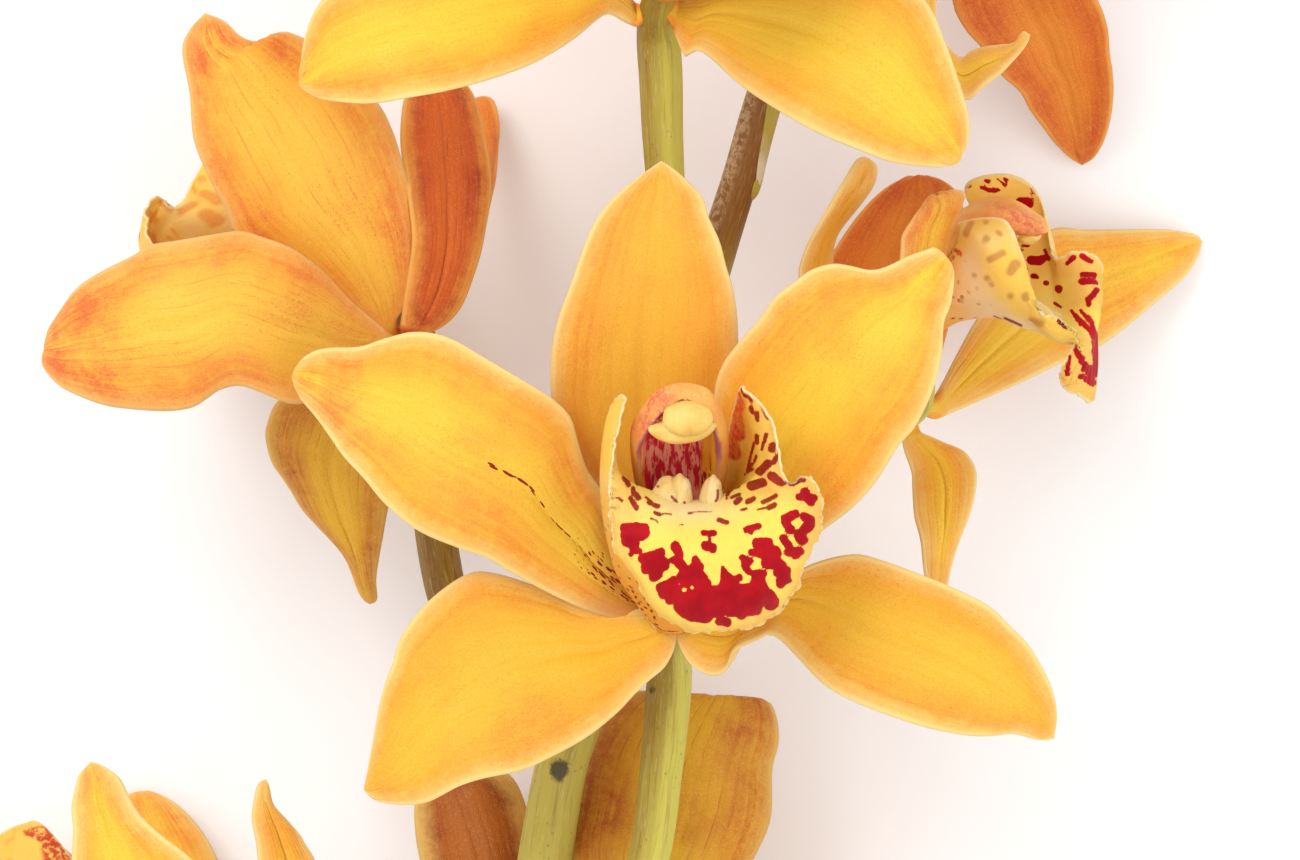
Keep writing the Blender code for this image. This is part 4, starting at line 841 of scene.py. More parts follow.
# ---- lips -----------------------------------------------------------------------------
# Rows run from the joint up through the tube to the throat, out to the tips of the side
# lobes and on down the middle lobe to its margin; each row goes from left to right.
LIP_FINE = [
    [(656, 629, 62), (660, 630, 62.3), (665, 631, 62.7), (673, 631, 63), (681, 631, 62.7), (686, 630, 62.3), (690, 628, 62)],
    [(633, 597, 66), (641, 601, 69), (656, 605, 71), (674, 606, 72), (693, 603, 71), (705, 597, 69), (711, 590, 66)],
    [(615, 556, 70), (620, 568, 75), (642, 580, 78.5), (680, 584, 80), (712, 576, 78.5), (722, 560, 75), (716, 545, 70)],
    [(604, 470, 76), (607, 508, 82), (630, 530, 84), (688, 536, 84.5), (738, 522, 84), (740, 490, 80), (722, 470, 75)],
    [(612, 407, 83.5), (607, 455, 86), (617, 500, 86.5), (690, 516, 85.5), (745, 492, 85), (748, 445, 83), (738, 394, 86)],
    [(626, 397, 89), (612, 450, 89.5), (622, 494, 88.5), (691, 510, 87), (750, 487, 88), (760, 442, 89), (747, 391, 90.5)],
    [(617, 436, 92.5), (613, 468, 92), (638, 491, 90), (694, 506, 88.5), (753, 483, 89.5), (771, 452, 92), (772, 420, 93.5)],
    [(610, 478, 95), (618, 486, 94.5), (646, 496, 92), (699, 504, 90.5), (755, 492, 92.5), (778, 482, 95), (787, 480, 96)],
    [(609, 495, 96.8), (622, 503, 97), (655, 512, 97), (703, 517, 96), (757, 507, 98), (795, 493, 98.5), (812, 478, 97.5)],
    [(611, 522, 96.5), (628, 531, 99), (662, 541, 100.5), (707, 547, 100.5), (757, 540, 101), (797, 528, 100.5), (822, 505, 97.5)],
    [(615, 549, 95.5), (636, 561, 98.5), (672, 574, 100), (711, 579, 100.5), (757, 573, 100), (794, 558, 99), (819, 534, 96.5)],
    [(632, 566, 93), (650, 587, 96), (682, 602, 98), (714, 607, 98.5), (752, 601, 98), (784, 584, 97), (806, 559, 95)],
    [(643, 591, 91), (658, 605, 93), (684, 619, 95), (716, 624, 95.5), (748, 618, 95), (775, 602, 94.5), (799, 585, 93)],
    [(658, 609, 89), (677, 625, 90), (698, 632.5, 91), (719, 629.5, 92), (742, 629, 92), (764, 622, 92), (784, 608, 92)],
]
# Marks of the front lip, in a drawing enlarged 5.227 times from (560, 360): capsules
# (x0, y0, x1, y1, r0, r1); a single number stands for both radii.
BLOTCH = [
    (345, 865, 380, 870, 18), (400, 870, 440, 880, 24), (360, 905, 440, 905, 32), (360, 935, 400, 945, 26), (395, 975, 425, 985, 16), (385, 995, 386, 996, 12),
    (440, 1020, 530, 995, 25), (470, 1060, 540, 1050, 40), (500, 1110, 515, 1100, 28),
    (600, 965, 625, 1010, 22), (620, 1040, 650, 1075, 25), (590, 1030, 605, 1035, 16),
    (710, 1035, 735, 1070, 22), (700, 1075, 740, 1120, 30), (670, 1090, 690, 1140, 30),
    (540, 1165, 600, 1140, 28), (560, 1190, 620, 1190, 38), (580, 1230, 584, 1232, 20), (640, 1110, 660, 1150, 24),
    (680, 1250, 980, 1230, 80), (850, 1065, 880, 1160, 8, 55), (700, 1300, 760, 1310, 40), (830, 1340, 870, 1345, 25), (640, 1260, 650, 1280, 20),
    (1000, 1270, 1020, 1290, 18), (940, 1300, 944, 1302, 30), (650, 1210, 760, 1150, 28), (750, 1130, 770, 1160, 18), (930, 1120, 934, 1124, 20), (1000, 1200, 1010, 1150, 20),
    (1080, 1215, 1090, 1240, 42), (1000, 1220, 1050, 1210, 24), (1040, 1130, 1060, 1180, 24),
    (1030, 950, 1090, 945, 25), (1050, 985, 1120, 990, 35), (950, 1020, 1000, 1040, 18), (960, 1060, 985, 1090, 20), (1020, 1110, 1050, 1100, 24),
    (1080, 1040, 1140, 1050, 34), (1130, 1090, 1170, 1080, 26), (1150, 1130, 1170, 1120, 28), (1140, 1150, 1142, 1152, 18),
    (1180, 825, 1230, 800, 22), (1270, 810, 1295, 830, 22), (1270, 870, 1290, 850, 24), (1180, 850, 1200, 880, 22), (1240, 900, 1250, 920, 30),
    (1165, 920, 1190, 960, 20), (1190, 985, 1240, 980, 24), (1215, 1010, 1230, 1005, 16),
    (1250, 715, 1320, 715, 20), (1280, 685, 1300, 740, 20), (750, 910, 810, 908, 16), (760, 970, 800, 980, 24), (780, 935, 782, 940, 10),
    (975, 885, 1040, 868, 18), (1000, 895, 1004, 896, 14), (1000, 992, 1050, 990, 18), (1000, 1095, 1060, 1093, 16),
]
GAPS = [(585, 1088, 12), (655, 1180, 10), (690, 1172, 10), (1015, 1055, 13), (1092, 1115, 9), (1215, 855, 6)]
FLECK = [
    (835, 850, 880, 865, 13), (950, 150, 985, 190, 7), (985, 180, 1010, 215, 7), (1010, 240, 1025, 270, 9), (1035, 205, 1065, 240, 6),
    (1040, 270, 1050, 310, 10), (1060, 250, 1095, 310, 5), (1050, 390, 1050, 430, 12), (1035, 430, 1020, 480, 8), (1095, 385, 1090, 420, 11),
    (1085, 425, 1075, 465, 9), (1125, 440, 1122, 470, 14), (1140, 505, 1132, 540, 11), (1060, 590, 1105, 545, 24), (1010, 675, 1075, 650, 27),
    (1125, 610, 1160, 650, 24), (1160, 650, 1185, 640, 12), (1210, 655, 1275, 635, 14), (1045, 500, 1035, 530, 8), (1020, 480, 1000, 570, 7), (1025, 545, 1000, 580, 9),
    (1000, 590, 1025, 575, 9), (985, 600, 950, 620, 8), (930, 625, 925, 650, 6), (965, 640, 935, 680, 14), (900, 690, 880, 730, 10),
    (940, 660, 900, 700, 11), (905, 740, 945, 720, 9), (880, 745, 882, 746, 8), (925, 765, 945, 745, 15), (985, 755, 1020, 742, 14),
    (1065, 760, 1140, 722, 11), (1095, 785, 1130, 768, 14), (1040, 795, 1085, 785, 6), (950, 800, 975, 790, 7), (985, 788, 986, 789, 7),
    (320, 630, 345, 670, 14), (360, 640, 395, 675, 6), (370, 690, 375, 720, 12), (385, 720, 405, 745, 13), (360, 740, 400, 790, 14),
    (300, 725, 325, 750, 6), (400, 660, 415, 680, 5), (440, 740, 470, 760, 8), (455, 765, 510, 785, 12), (490, 815, 520, 825, 10),
    (530, 822, 575, 826, 5), (470, 845, 510, 860, 6), (670, 818, 690, 818, 6), (700, 815, 800, 810, 3), (610, 878, 640, 875, 4),
]
KEEL_FLECK = [
    (585, 715, 610, 745, 9), (650, 745, 652, 746, 7), (655, 782, 650, 775, 13), (512, 660, 514, 661, 8), (825, 680, 825, 720, 7),
    (815, 735, 816, 736, 9), (795, 780, 775, 780, 16, 8),
]
FLUSH = [(930, 190, 960, 230, 32), (895, 290, 905, 480, 34), (940, 250, 960, 390, 34), (915, 440, 940, 490, 34)]
# small dark dots and a line on the outside of the tube
OUTSIDE = [(a, c, a + 3, c + 6, 6) for a, c in ((392, 1190), (408, 1220), (424, 1252), (440, 1284), (456, 1316), (474, 1348), (436, 1190), (452, 1222), (470, 1256), (486, 1290), (500, 1324), (478, 1180), (494, 1212), (508, 1246))]
OUTSIDE += [(460, 1345, 540, 1395, 3), (540, 1395, 640, 1402, 3)]
LIP_SHOWN = [
    [(903, 345, 46), (908, 355, 47), (916, 362, 45.5), (922, 364, 41.5), (926, 358, 38.5), (926, 348, 37), (922, 338, 37)],
    [(916, 315, 49), (922, 325, 51), (929, 332, 50.5), (935, 334, 45.5), (939, 328, 39.5), (940, 317, 37), (940, 304, 38)],
    [(938, 268, 51), (944, 290, 54), (950, 308, 54), (959, 318, 48.5), (969, 303, 41), (971, 284, 38), (964, 260, 39)],
    LIP_SIDE[3][:6] + [(974, 222, 39)], LIP_SIDE[4][:6] + [(966, 184, 41)], LIP_SIDE[5][:6] + [(1008, 174, 42.5)], LIP_SIDE[6][:6] + [(1040, 196, 43.5)],
] + LIP_SIDE[7:]
# The lip seen from the side, enlarged 4.9 times from (900, 140): marks of its inner face and,
# for the face turned to the viewer, the places where they show through.
SIDE_IN = [
    (430, 195, 405, 228, 12), (440, 240, 482, 235, 14), (505, 200, 525, 225, 10), (472, 187, 474, 188, 9), (514, 190, 522, 190, 10), (655, 243, 657, 245, 16),
    (595, 298, 640, 300, 26), (330, 230, 345, 215, 12), (300, 385, 320, 378, 6), (585, 530, 630, 508, 13), (600, 560, 601, 562, 6), (590, 575, 591, 577, 5),
    (650, 585, 690, 590, 24), (700, 575, 745, 575, 15), (715, 535, 740, 580, 12), (610, 632, 616, 632, 15), (658, 672, 664, 672, 16), (680, 680, 681, 680, 10),
    (633, 697, 634, 698, 9), (718, 708, 720, 710, 14), (790, 735, 792, 736, 21), (760, 812, 795, 828, 9), (672, 822, 673, 823, 5), (825, 600, 855, 575, 13),
    (890, 570, 935, 600, 13), (905, 668, 945, 668, 17), (900, 704, 950, 706, 16), (955, 745, 930, 790, 12), (925, 790, 930, 820, 10),
    (850, 845, 890, 920, 8), (895, 845, 925, 900, 9), (870, 870, 935, 960, 12), (925, 880, 940, 960, 8), (860, 1010, 930, 1190, 14), (935, 960, 950, 1080, 18),
    (870, 1030, 890, 1100, 10), (835, 1060, 820, 1140, 9), (940, 1000, 945, 1130, 20), (880, 1150, 925, 1190, 14), (900, 1110, 940, 1140, 20),
]
SIDE_SHOW = [
    (355, 415, 345, 460, 20), (430, 408, 432, 409, 15), (430, 495, 431, 496, 20), (495, 465, 496, 466, 20), (455, 580, 510, 555, 18),
    (540, 640, 560, 610, 25), (440, 670, 441, 671, 16), (380, 660, 381, 661, 12), (545, 750, 546, 751, 18), (615, 755, 620, 770, 18),
    (650, 870, 700, 890, 16), (460, 700, 461, 701, 14),
]
SIDE_DASH = [(460, 842, 505, 860, 3), (520, 855, 600, 892, 6), (770, 885, 820, 925, 6)]
SIDE_FLUSH = [(262, 470, 275, 500, 26), (240, 550, 300, 560, 24), (250, 590, 270, 585, 14)]


def field(x, y, caps, blend):
    d = np.full(x.shape, 900.0)
    for x0, y0, x1, y1, *r in caps:
        r0, r1 = r[0], r[-1]
        dx, dy = x1 - x0, y1 - y0
        t = np.clip(((x - x0) * dx + (y - y0) * dy) / max(dx * dx + dy * dy, 1e-9), 0, 1)
        e = np.hypot(x - x0 - dx * t, y - y0 - dy * t) - (r0 + (r1 - r0) * t)
        h = np.clip(0.5 + 0.5 * (d - e) / blend, 0, 1)
        d = d * (1 - h) + e * h - blend * h * (1 - h)
    return d


def lip_material():
    t = Tree("lip_spotted")
    rim, side, row, u = t.attr("rim"), t.attr("side"), t.attr("row"), t.attr("across")
    spot, fleck, flush, show = t.attr("spot"), t.attr("fleck"), t.attr("flush"), t.attr("show")
    ob = t.obj()
    n1 = t.noise(ob, 260, 2.0)
    n2 = t.noise(ob, 900, 3.0, 0.6)
    n3 = t.noise(ob, 2600, 2.0, 0.6)
    cloud = t.noise(ob, 120, 2.0)
    ridge = t.noise(t.vec(t.math("MULTIPLY", u, 60.0), t.math("MULTIPLY", row, 6.0), 2.0), 1.0, 3.0, 0.6)
    wob = lambda x, amount, source: t.math("ADD", x, t.math("MULTIPLY", t.math("SUBTRACT", source, 0.5), amount))
    # inner face: clear yellow in the middle, a wide peach border, a thin cream rim
    mid = t.mix(t.step(wob(rim, 3.0, cloud), 6.2, 2.6), lin(255, 222, 94), lin(252, 197, 94))
    # painted light: on the side-on lip ('pale') the inside of the tube is lighter than its own colour, set against the
    # shade there
    inner = t.mix(t.step(row, 0.30, 0.52), t.mix(t.attr("pale"), lin(250, 184, 52), lin(255, 212, 100, 1.0)), mid)
    inner = t.mix(t.math("MULTIPLY", t.step(n1, 0.42, 0.7), 0.28), inner, lin(255, 230, 118))
    inner = t.mix(t.math("MULTIPLY", t.step(wob(flush, 16.0, n1), 6.0, -12.0), t.math("ADD", 0.6, t.math("MULTIPLY", t.step(n2, 0.42, 0.6), 0.38))), inner, lin(222, 70, 26))
    throat = t.attr("throat")
    inner = t.mix(t.math("MULTIPLY", throat, 0.92), inner, lin(252, 226, 166))
    ragged = t.math("ADD", t.math("MULTIPLY", t.math("SUBTRACT", n2, 0.5), 13.0), t.math("MULTIPLY", t.math("SUBTRACT", n3, 0.5), 5.0))
    s = t.math("ADD", spot, ragged)
    red = t.mix(t.step(n1, 0.35, 0.68), lin(168, 0, 20), lin(192, 6, 24))
    red = t.mix(t.math("MULTIPLY", t.step(s, -14.0, 3.0), 0.30), red, lin(204, 26, 28))
    inner = t.mix(t.step(s, 2.0, -2.0), inner, red)
    f = wob(fleck, 9.0, n3)
    plum = t.mix(t.step(n2, 0.4, 0.65), lin(140, 0, 20), lin(176, 6, 24))
    inner = t.mix(t.math("MULTIPLY", t.step(f, 3.0, -3.0), 0.95), inner, plum)
    # outer face: yellow near the margin, pale on the flanks; the marks show through as brown clouds
    outer = t.mix(t.step(wob(rim, 4.0, cloud), 9.0, 3.0), t.mix(t.attr("pale"), lin(250, 198, 96), lin(248, 216, 164)), lin(254, 206, 88))
    # orange towards the foot of the lip: partly its own colour, partly painted shade on the flank
    outer = t.mix(t.step(row, 0.10, 0.30), lin(240, 162, 56), outer)
    outer = t.mix(t.math("MULTIPLY", t.step(cloud, 0.5, 0.7), 0.3), outer, lin(255, 230, 176))
    outer = t.mix(t.math("MULTIPLY", t.step(wob(show, 16.0, n1), 8.0, -12.0), 0.66), outer, t.mix(t.attr("pale"), lin(236, 140, 52), lin(190, 118, 58)))
    dot = t.cells(ob, 620)
    outer = t.mix(t.math("MULTIPLY", t.step(dot, 0.30, 0.20), t.math("MULTIPLY", t.step(row, 0.30, 0.14), t.step(n1, 0.40, 0.52))), outer, lin(140, 24, 22))
    outer = t.mix(t.math("MULTIPLY", t.step(wob(flush, 14.0, n1), 4.0, -8.0), t.step(n2, 0.36, 0.56)), outer, lin(214, 74, 40))
    dash = t.attr("dash")
    outer = t.mix(t.step(wob(dash, 5.0, n3), 2.0, -1.5), outer, lin(146, 34, 34))
    col = t.mix(t.step(side, 0.35, 0.65), outer, inner)
    edge = wob(rim, 0.6, n2)
    col = t.mix(t.math("MULTIPLY", t.step(edge, 0.6, 0.1), 0.8), col, lin(255, 234, 180))
    marked = t.math("MULTIPLY", t.step(t.math("MINIMUM", s, f), 2.0, -2.0), t.step(side, 0.35, 0.65))
    col = t.mix(t.math("MULTIPLY", t.math("MULTIPLY", t.step(n3, 0.5, 0.66), 0.10), t.math("SUBTRACT", 1.0, marked)), col, lin(255, 240, 190))
    t.flesh(col, t.math("ADD", 0.46, t.math("MULTIPLY", n2, 0.2)), sub=0.10, spec=0.12)
    t.bump(t.math("ADD", t.math("MULTIPLY", ridge, 0.6), t.math("ADD", t.math("MULTIPLY", n3, 0.35), t.math("MULTIPLY", t.step(s, 6.0, -6.0), 0.12))), 0.28, 0.0007)
    return t.mat


def keel_material():
    t = Tree("lip_keel")
    ob = t.obj()
    n = t.noise(ob, 1500, 3.0, 0.7)
    c = t.noise(ob, 260, 2.0)
    col = t.mix(t.step(c, 0.35, 0.7), lin(248, 208, 128), lin(252, 224, 164))
    f = t.math("ADD", t.attr("fleck"), t.math("MULTIPLY", t.math("SUBTRACT", n, 0.5), 9.0))
    col = t.mix(t.math("MULTIPLY", t.step(f, 3.0, -3.0), 0.9), col, lin(150, 16, 30))
    t.flesh(col, 0.6, sub=0.2, spec=0.15)
    t.bump(n, 0.6, 0.0005)
    return t.mat


LIP_MAT, KEEL_MAT = lip_material(), keel_material()


def margin_distance(g):
    """Distance (mm) of each grid point to the free margins, and the place along them."""
    edge = np.concatenate([g[:, 0], g[-1, 1:], g[::-1, -1][1:]])
    run = np.concatenate([[0], np.cumsum(np.linalg.norm(np.diff(edge, axis=0), axis=1))]) * 1000
    flat = g.reshape(-1, 3)
    d = np.empty(len(flat))
    at = np.empty(len(flat))
    for i in range(0, len(flat), 4000):
        q = np.linalg.norm(flat[i:i + 4000, None] - edge[None], axis=2)
        j = q.argmin(1)
        d[i:i + 4000] = q[np.arange(len(j)), j] * 1000
        at[i:i + 4000] = run[j]
    return d.reshape(g.shape[:2]), at.reshape(g.shape[:2])


def lip(flower):
    rows, cols = {"flower1": (182, 140), "flower2": (88, 66), "flower4": (150, 110), "flower3": (100, 76)}.get(flower, (70, 52))
    own = "lip" in FLOWERS[flower]
    table = LIP_SHOWN if own else LIP_FINE
    last = len(table) - 1
    drawn = lattice(table, rows, cols)
    g = world(drawn)
    dist, run = margin_distance(g)
    n = normals_of(g)
    v = np.linspace(0, 1, rows + 1)[:, None] * np.ones(cols + 1)[None]
    u = np.linspace(0, 1, cols + 1)[None] * np.ones(rows + 1)[:, None]
    near = np.exp(-(dist / 1.5) ** 2) * smooth(v, 0.12, 0.35)
    frill = 0.00034 * waves(run * 1.15, 21, 4) + 0.00016 * waves(run * 3.4, 22, 3) + 0.00010 * waves(run * 8.0, 23, 3)
    lobe = smooth(v, 0.52, 0.62)
    g = g + n * (near * frill * (0.35 + 0.65 * lobe) * (0.6 if own else 1.2))[..., None]
    # crenate outline: the margin itself moves in and out
    inward = np.gradient(dist, axis=1)[..., None] * np.gradient(g, axis=1) + np.gradient(dist, axis=0)[..., None] * np.gradient(g, axis=0)
    inward /= np.maximum(np.linalg.norm(inward, axis=2, keepdims=True), 1e-12)
    cren = 0.00016 * waves(run * 2.6, 31, 3) + 0.00010 * waves(run * 7.0, 32, 3)
    g = g + inward * (np.exp(-(dist / 0.9) ** 2) * cren * smooth(v, 0.4, 0.55))[..., None]
    # veins and soft swellings of the face
    g = g + n * (0.00008 * np.sin(u * 62) * lobe * smooth(dist, 0.5, 3.0) + 0.00016 * waves(u * 9 + v * 4, 41, 4) * smooth(v, 0.2, 0.4))[..., None]
    thick = 0.0013 * (0.26 + 0.74 * smooth(dist, 0.0, 2.6))
    V, f, side = shell_parts(g, thick)
    r = v * last
    far = np.full(u.shape, 300.0)
    if own:
        x, y = (drawn[..., 0] - 900) * 4.9, (drawn[..., 1] - 140) * 4.9
        facing = (u > 0.45) | (r > 6.6)
        spot = np.where(facing, field(x, y, SIDE_IN, 8.0), far)
        fleck = far
        flush = np.where(r < 4.5, field(x, y, SIDE_FLUSH, 10.0), far)
        show = np.where((u < 0.55) & (r > 1.2), field(x, y, SIDE_SHOW, 8.0), far)
        dash = np.where(r > 1.0, field(x, y, SIDE_DASH, 4.0), far)
        throat = smooth(1 - np.abs(u - 0.5) * 4, 0, 1) * smooth(r, 2.0, 3.5) * smooth(r, 8.0, 6.0) * 0.6
    else:
        x, y = (drawn[..., 0] - 560) * 5.227, (drawn[..., 1] - 360) * 5.227
        spot = field(x, y - 10, BLOTCH, 7.0)
        for a, b, q in GAPS:
            spot = np.maximum(spot, q - np.hypot(x - a, y - 10 - b))
        spot = np.where(r > 7.2, spot, far)
        fleck = np.where((r > 3.6) & (r < 9.2), field(x, y, FLECK, 3.0), far)
        flush = np.where((r > 2.6) & (r < 7.2), field(x, y, FLUSH, 20.0), far)
        show = np.minimum(np.where(r > 7.6, spot, far), fleck + 4)
        dash = np.where(r < 3.2, field(x, y, OUTSIDE, 2.0), far)
        throat = np.exp(-(((x - 680) / 250) ** 2 + ((y - 785) / 90) ** 2) * 1.2) * smooth(r, 3.0, 3.8)
    two = lambda q: np.concatenate([q.ravel()] * 2)
    # 'pale' marks the side-on lip: its flanks are paler, and the inside of its tube is lighter as painted light
    attrs = {"rim": two(dist), "side": side, "row": two(v), "across": two(u), "spot": np.clip(two(spot), -60, 60), "fleck": np.clip(two(fleck), -40, 60),
             "flush": np.clip(two(flush), -60, 60), "show": np.clip(two(show), -60, 60), "dash": np.clip(two(dash), -20, 60), "throat": two(throat), "pale": np.full(2 * u.size, float(own))}
    uv = np.column_stack([two(u), two(v)])
    put = (lambda q: q) if own else (lambda q: placed(q, flower))
    ob = mesh_object(flower + "_lip_skin", put(V) + OFFSET, f, [LIP_MAT], attrs, uv, weld=2e-6)
    mm = 0.001
    seg, rg = (40, 30) if flower == "flower1" else (22, 16)
    if own:
        inn = -n * 0.0011
        ij = [(int(rows * q / last), int(cols * c)) for q, c in ((5.0, 0.42), (5.0, 0.58))]
        lumps = []
        for i, j in ij:
            along = g[min(i + 6, rows), j] - g[i - 6, j]
            along /= np.linalg.norm(along)
            across = np.cross(n[i, j], along)
            lumps.append(blob_parts(g[i, j] + inn[i, j], [across * 1.3 * mm, along * 4.0 * mm, n[i, j] * 1.9 * mm], seed=j, seg=seg, rings=rg, bump=0.14))
    else:
        lumps = [
            blob_parts(point(667, 502, 90.6), [(2.7 * mm, -0.6 * mm, 0), (0.5 * mm, 4.3 * mm, -0.4 * mm), (0, 0, 2.7 * mm)], seed=5, seg=seg, rings=rg, bump=0.14),
            blob_parts(point(682, 502, 90.8), [(1.7 * mm, 0.8 * mm, 0), (-0.7 * mm, 4.3 * mm, 0), (0, 0, 2.5 * mm)], seed=9, seg=seg, rings=rg, bump=0.14),
            blob_parts(point(711, 502, 90.8), [(1.8 * mm, -0.2 * mm, 0), (0.2 * mm, 4.4 * mm, 0), (0, 0, 2.6 * mm)], seed=13, seg=seg, rings=rg, bump=0.14),
        ]
    parts = []
    for V, f, a, q in lumps:
        s_ = (VIEW_H + LEVEL - V[:, 2]) / VIEW_H
        kx, ky = (PAGE_A + V[:, 0] / UNIT / s_ - 560) * 5.227, (PAGE_B - V[:, 1] / UNIT / s_ - 360) * 5.227
        parts.append((put(V) + OFFSET, f, {"fleck": np.clip(field(kx, ky, KEEL_FLECK, 3.0), -40, 60)}, q))
    k = joined(flower + "_keel", parts, [KEEL_MAT])
    return ob, k


def absorb(base, *others):
    """Joins meshes into the first one, keeping each one's material."""
    for o in bpy.context.scene.objects:
        o.select_set(False)
    for o in others:
        o.select_set(True)
    base.select_set(True)
    bpy.context.view_layer.objects.active = base
    bpy.ops.object.join()
    return base


for flower in FLOWERS:
    skin, keel = lip(flower)
    ob = absorb(skin, keel)
    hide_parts(flower + "_lip")
    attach(ob, "root")

# ---- columns and flower stalks --------------------------------------------------------
# Sections of the hooded column: drawing place, lean (degrees), half width, back, front rim
# and channel depth (mm).
SECTIONS = [
    (672, 622, 59, 36, 2.3, 2.3, 1.8, -1.5), (675, 585, 64, 40, 2.6, 2.5, 2.0, -1.4), (678, 545, 70, 42, 3.6, 2.9, 2.4, -0.8),
    (680, 510, 76, 44, 5.2, 3.2, 2.8, 0.4), (680, 478, 81, 45, 6.9, 3.6, 3.3, 1.5), (679.5, 452, 85, 46, 7.4, 3.8, 3.5, 2.2),
    (679.5, 433, 88, 49, 7.4, 4.0, 3.2, 2.4), (681, 421, 90.5, 57, 6.7, 4.0, 2.8, 2.2), (682.5, 412, 93, 70, 5.6, 3.9, 2.2, 1.8),
    (684, 405, 95, 86, 4.3, 3.4, 1.4, 1.1), (685, 403, 96.6, 100, 2.4, 2.2, 0.6, 0.4),
]


def closed_curve(ctrl, n):
    q = np.concatenate([ctrl[-1:], ctrl, ctrl[:2]])
    out = []
    for i in range(1, len(q) - 2):
        w = np.linspace(0, 1, 14, endpoint=False)[:, None]
        a, b, c, d = q[i - 1], q[i], q[i + 1], q[i + 2]
        out.append(0.5 * (2 * b + (c - a) * w + (2 * a - 5 * b + 4 * c - d) * w ** 2 + (3 * b - a - 3 * c + d) * w ** 3))
    c = np.vstack(out)
    c = np.vstack([c, c[:1]])
    run = np.concatenate([[0], np.cumsum(np.linalg.norm(np.diff(c[:, :2], axis=0), axis=1))])
    s = np.linspace(0, run[-1], n, endpoint=False)
    return np.stack([np.interp(s, run, c[:, k]) for k in range(c.shape[1])], 1)


def column_parts(flower, rings, around):
    ts = np.linspace(0, 1, rings)
    ts = 1 - (1 - ts) ** 1.25
    S = np.array(SECTIONS, float)
    P = np.stack([profile(S[:, k], ts) for k in range(8)], 1)
    V, at = [], {"inner": [], "rimline": [], "up": [], "sx": []}
    for a, b, h, lean, w, bk, rim, d in P:
        al = math.radians(lean)
        F = np.array([0, -math.sin(al), math.cos(al)])
        sk = -1.0 if w > 4 else 0.0
        sk *= min(1, max(0, (w - 4) / 3))
        # x, f, inner, rim line
        ctrl = np.array([
            (-w * .88, rim, 0, .7), (-w, rim * .3, 0, 0), (-w * .97, -bk * .35, 0, 0), (-w * .72, -bk * .8, 0, 0), (0, -bk, 0, 0),
            (w * .72, -bk * .8, 0, 0), (w * .97, -bk * .35, 0, 0), (w, rim * .3, 0, 0), (w * .88, rim, 0, .7),
            (w * .78, rim * 1.03, .3, 1), (w * .68, rim * .6, 1, .35), (w * .60 + sk * .3, -d * .2 + rim * .1, 1, 0), (w * .40 + sk, -d * .9, 2, 0), (sk, -d, 2, 0),
            (-w * .48 + sk, -d * .9, 2, 0), (-w * .68 + sk * .3, -d * .2 + rim * .1, 2, 0), (-w * .74, rim * .6, 1.6, .35), (-w * .80, rim * 1.03, .3, 1)], float)
        c = closed_curve(ctrl, around)
        p0 = np.array(point(a, b, h))
        V.append(p0 + np.outer(c[:, 0] * 0.001, [1, 0, 0]) + np.outer(c[:, 1] * 0.001, F))
        at["inner"].append(c[:, 2])
        at["rimline"].append(c[:, 3])
        at["sx"].append(c[:, 0])
    V = np.array(V)
    idx = np.arange(rings * around).reshape(rings, around)
    a_, b_ = idx[:-1], idx[1:]
    f = np.stack([a_, np.roll(a_, -1, 1), np.roll(b_, -1, 1), b_], -1).reshape(-1, 4).tolist()
    n = rings * around
    flat = V.reshape(-1, 3)
    V2 = np.concatenate([flat, [V[0].mean(0)], [V[-1].mean(0)]])
    f += [[n, int(idx[0, (j + 1) % around]), int(idx[0, j])] for j in range(around)]
    f += [[n + 1, int(idx[-1, j]), int(idx[-1, (j + 1) % around])] for j in range(around)]
    up = np.concatenate([np.repeat(ts, around), [0, 1]])
    uv = np.column_stack([np.concatenate([np.tile(np.linspace(0, 1, around), rings), [0, 0]]), up])
    cat = lambda q: np.concatenate([np.array(q).ravel(), [0, 0]])
    return V2, f, {"inner": cat(at["inner"]), "rimline": cat(at["rimline"]), "sx": cat(at["sx"]), "up": up}, uv


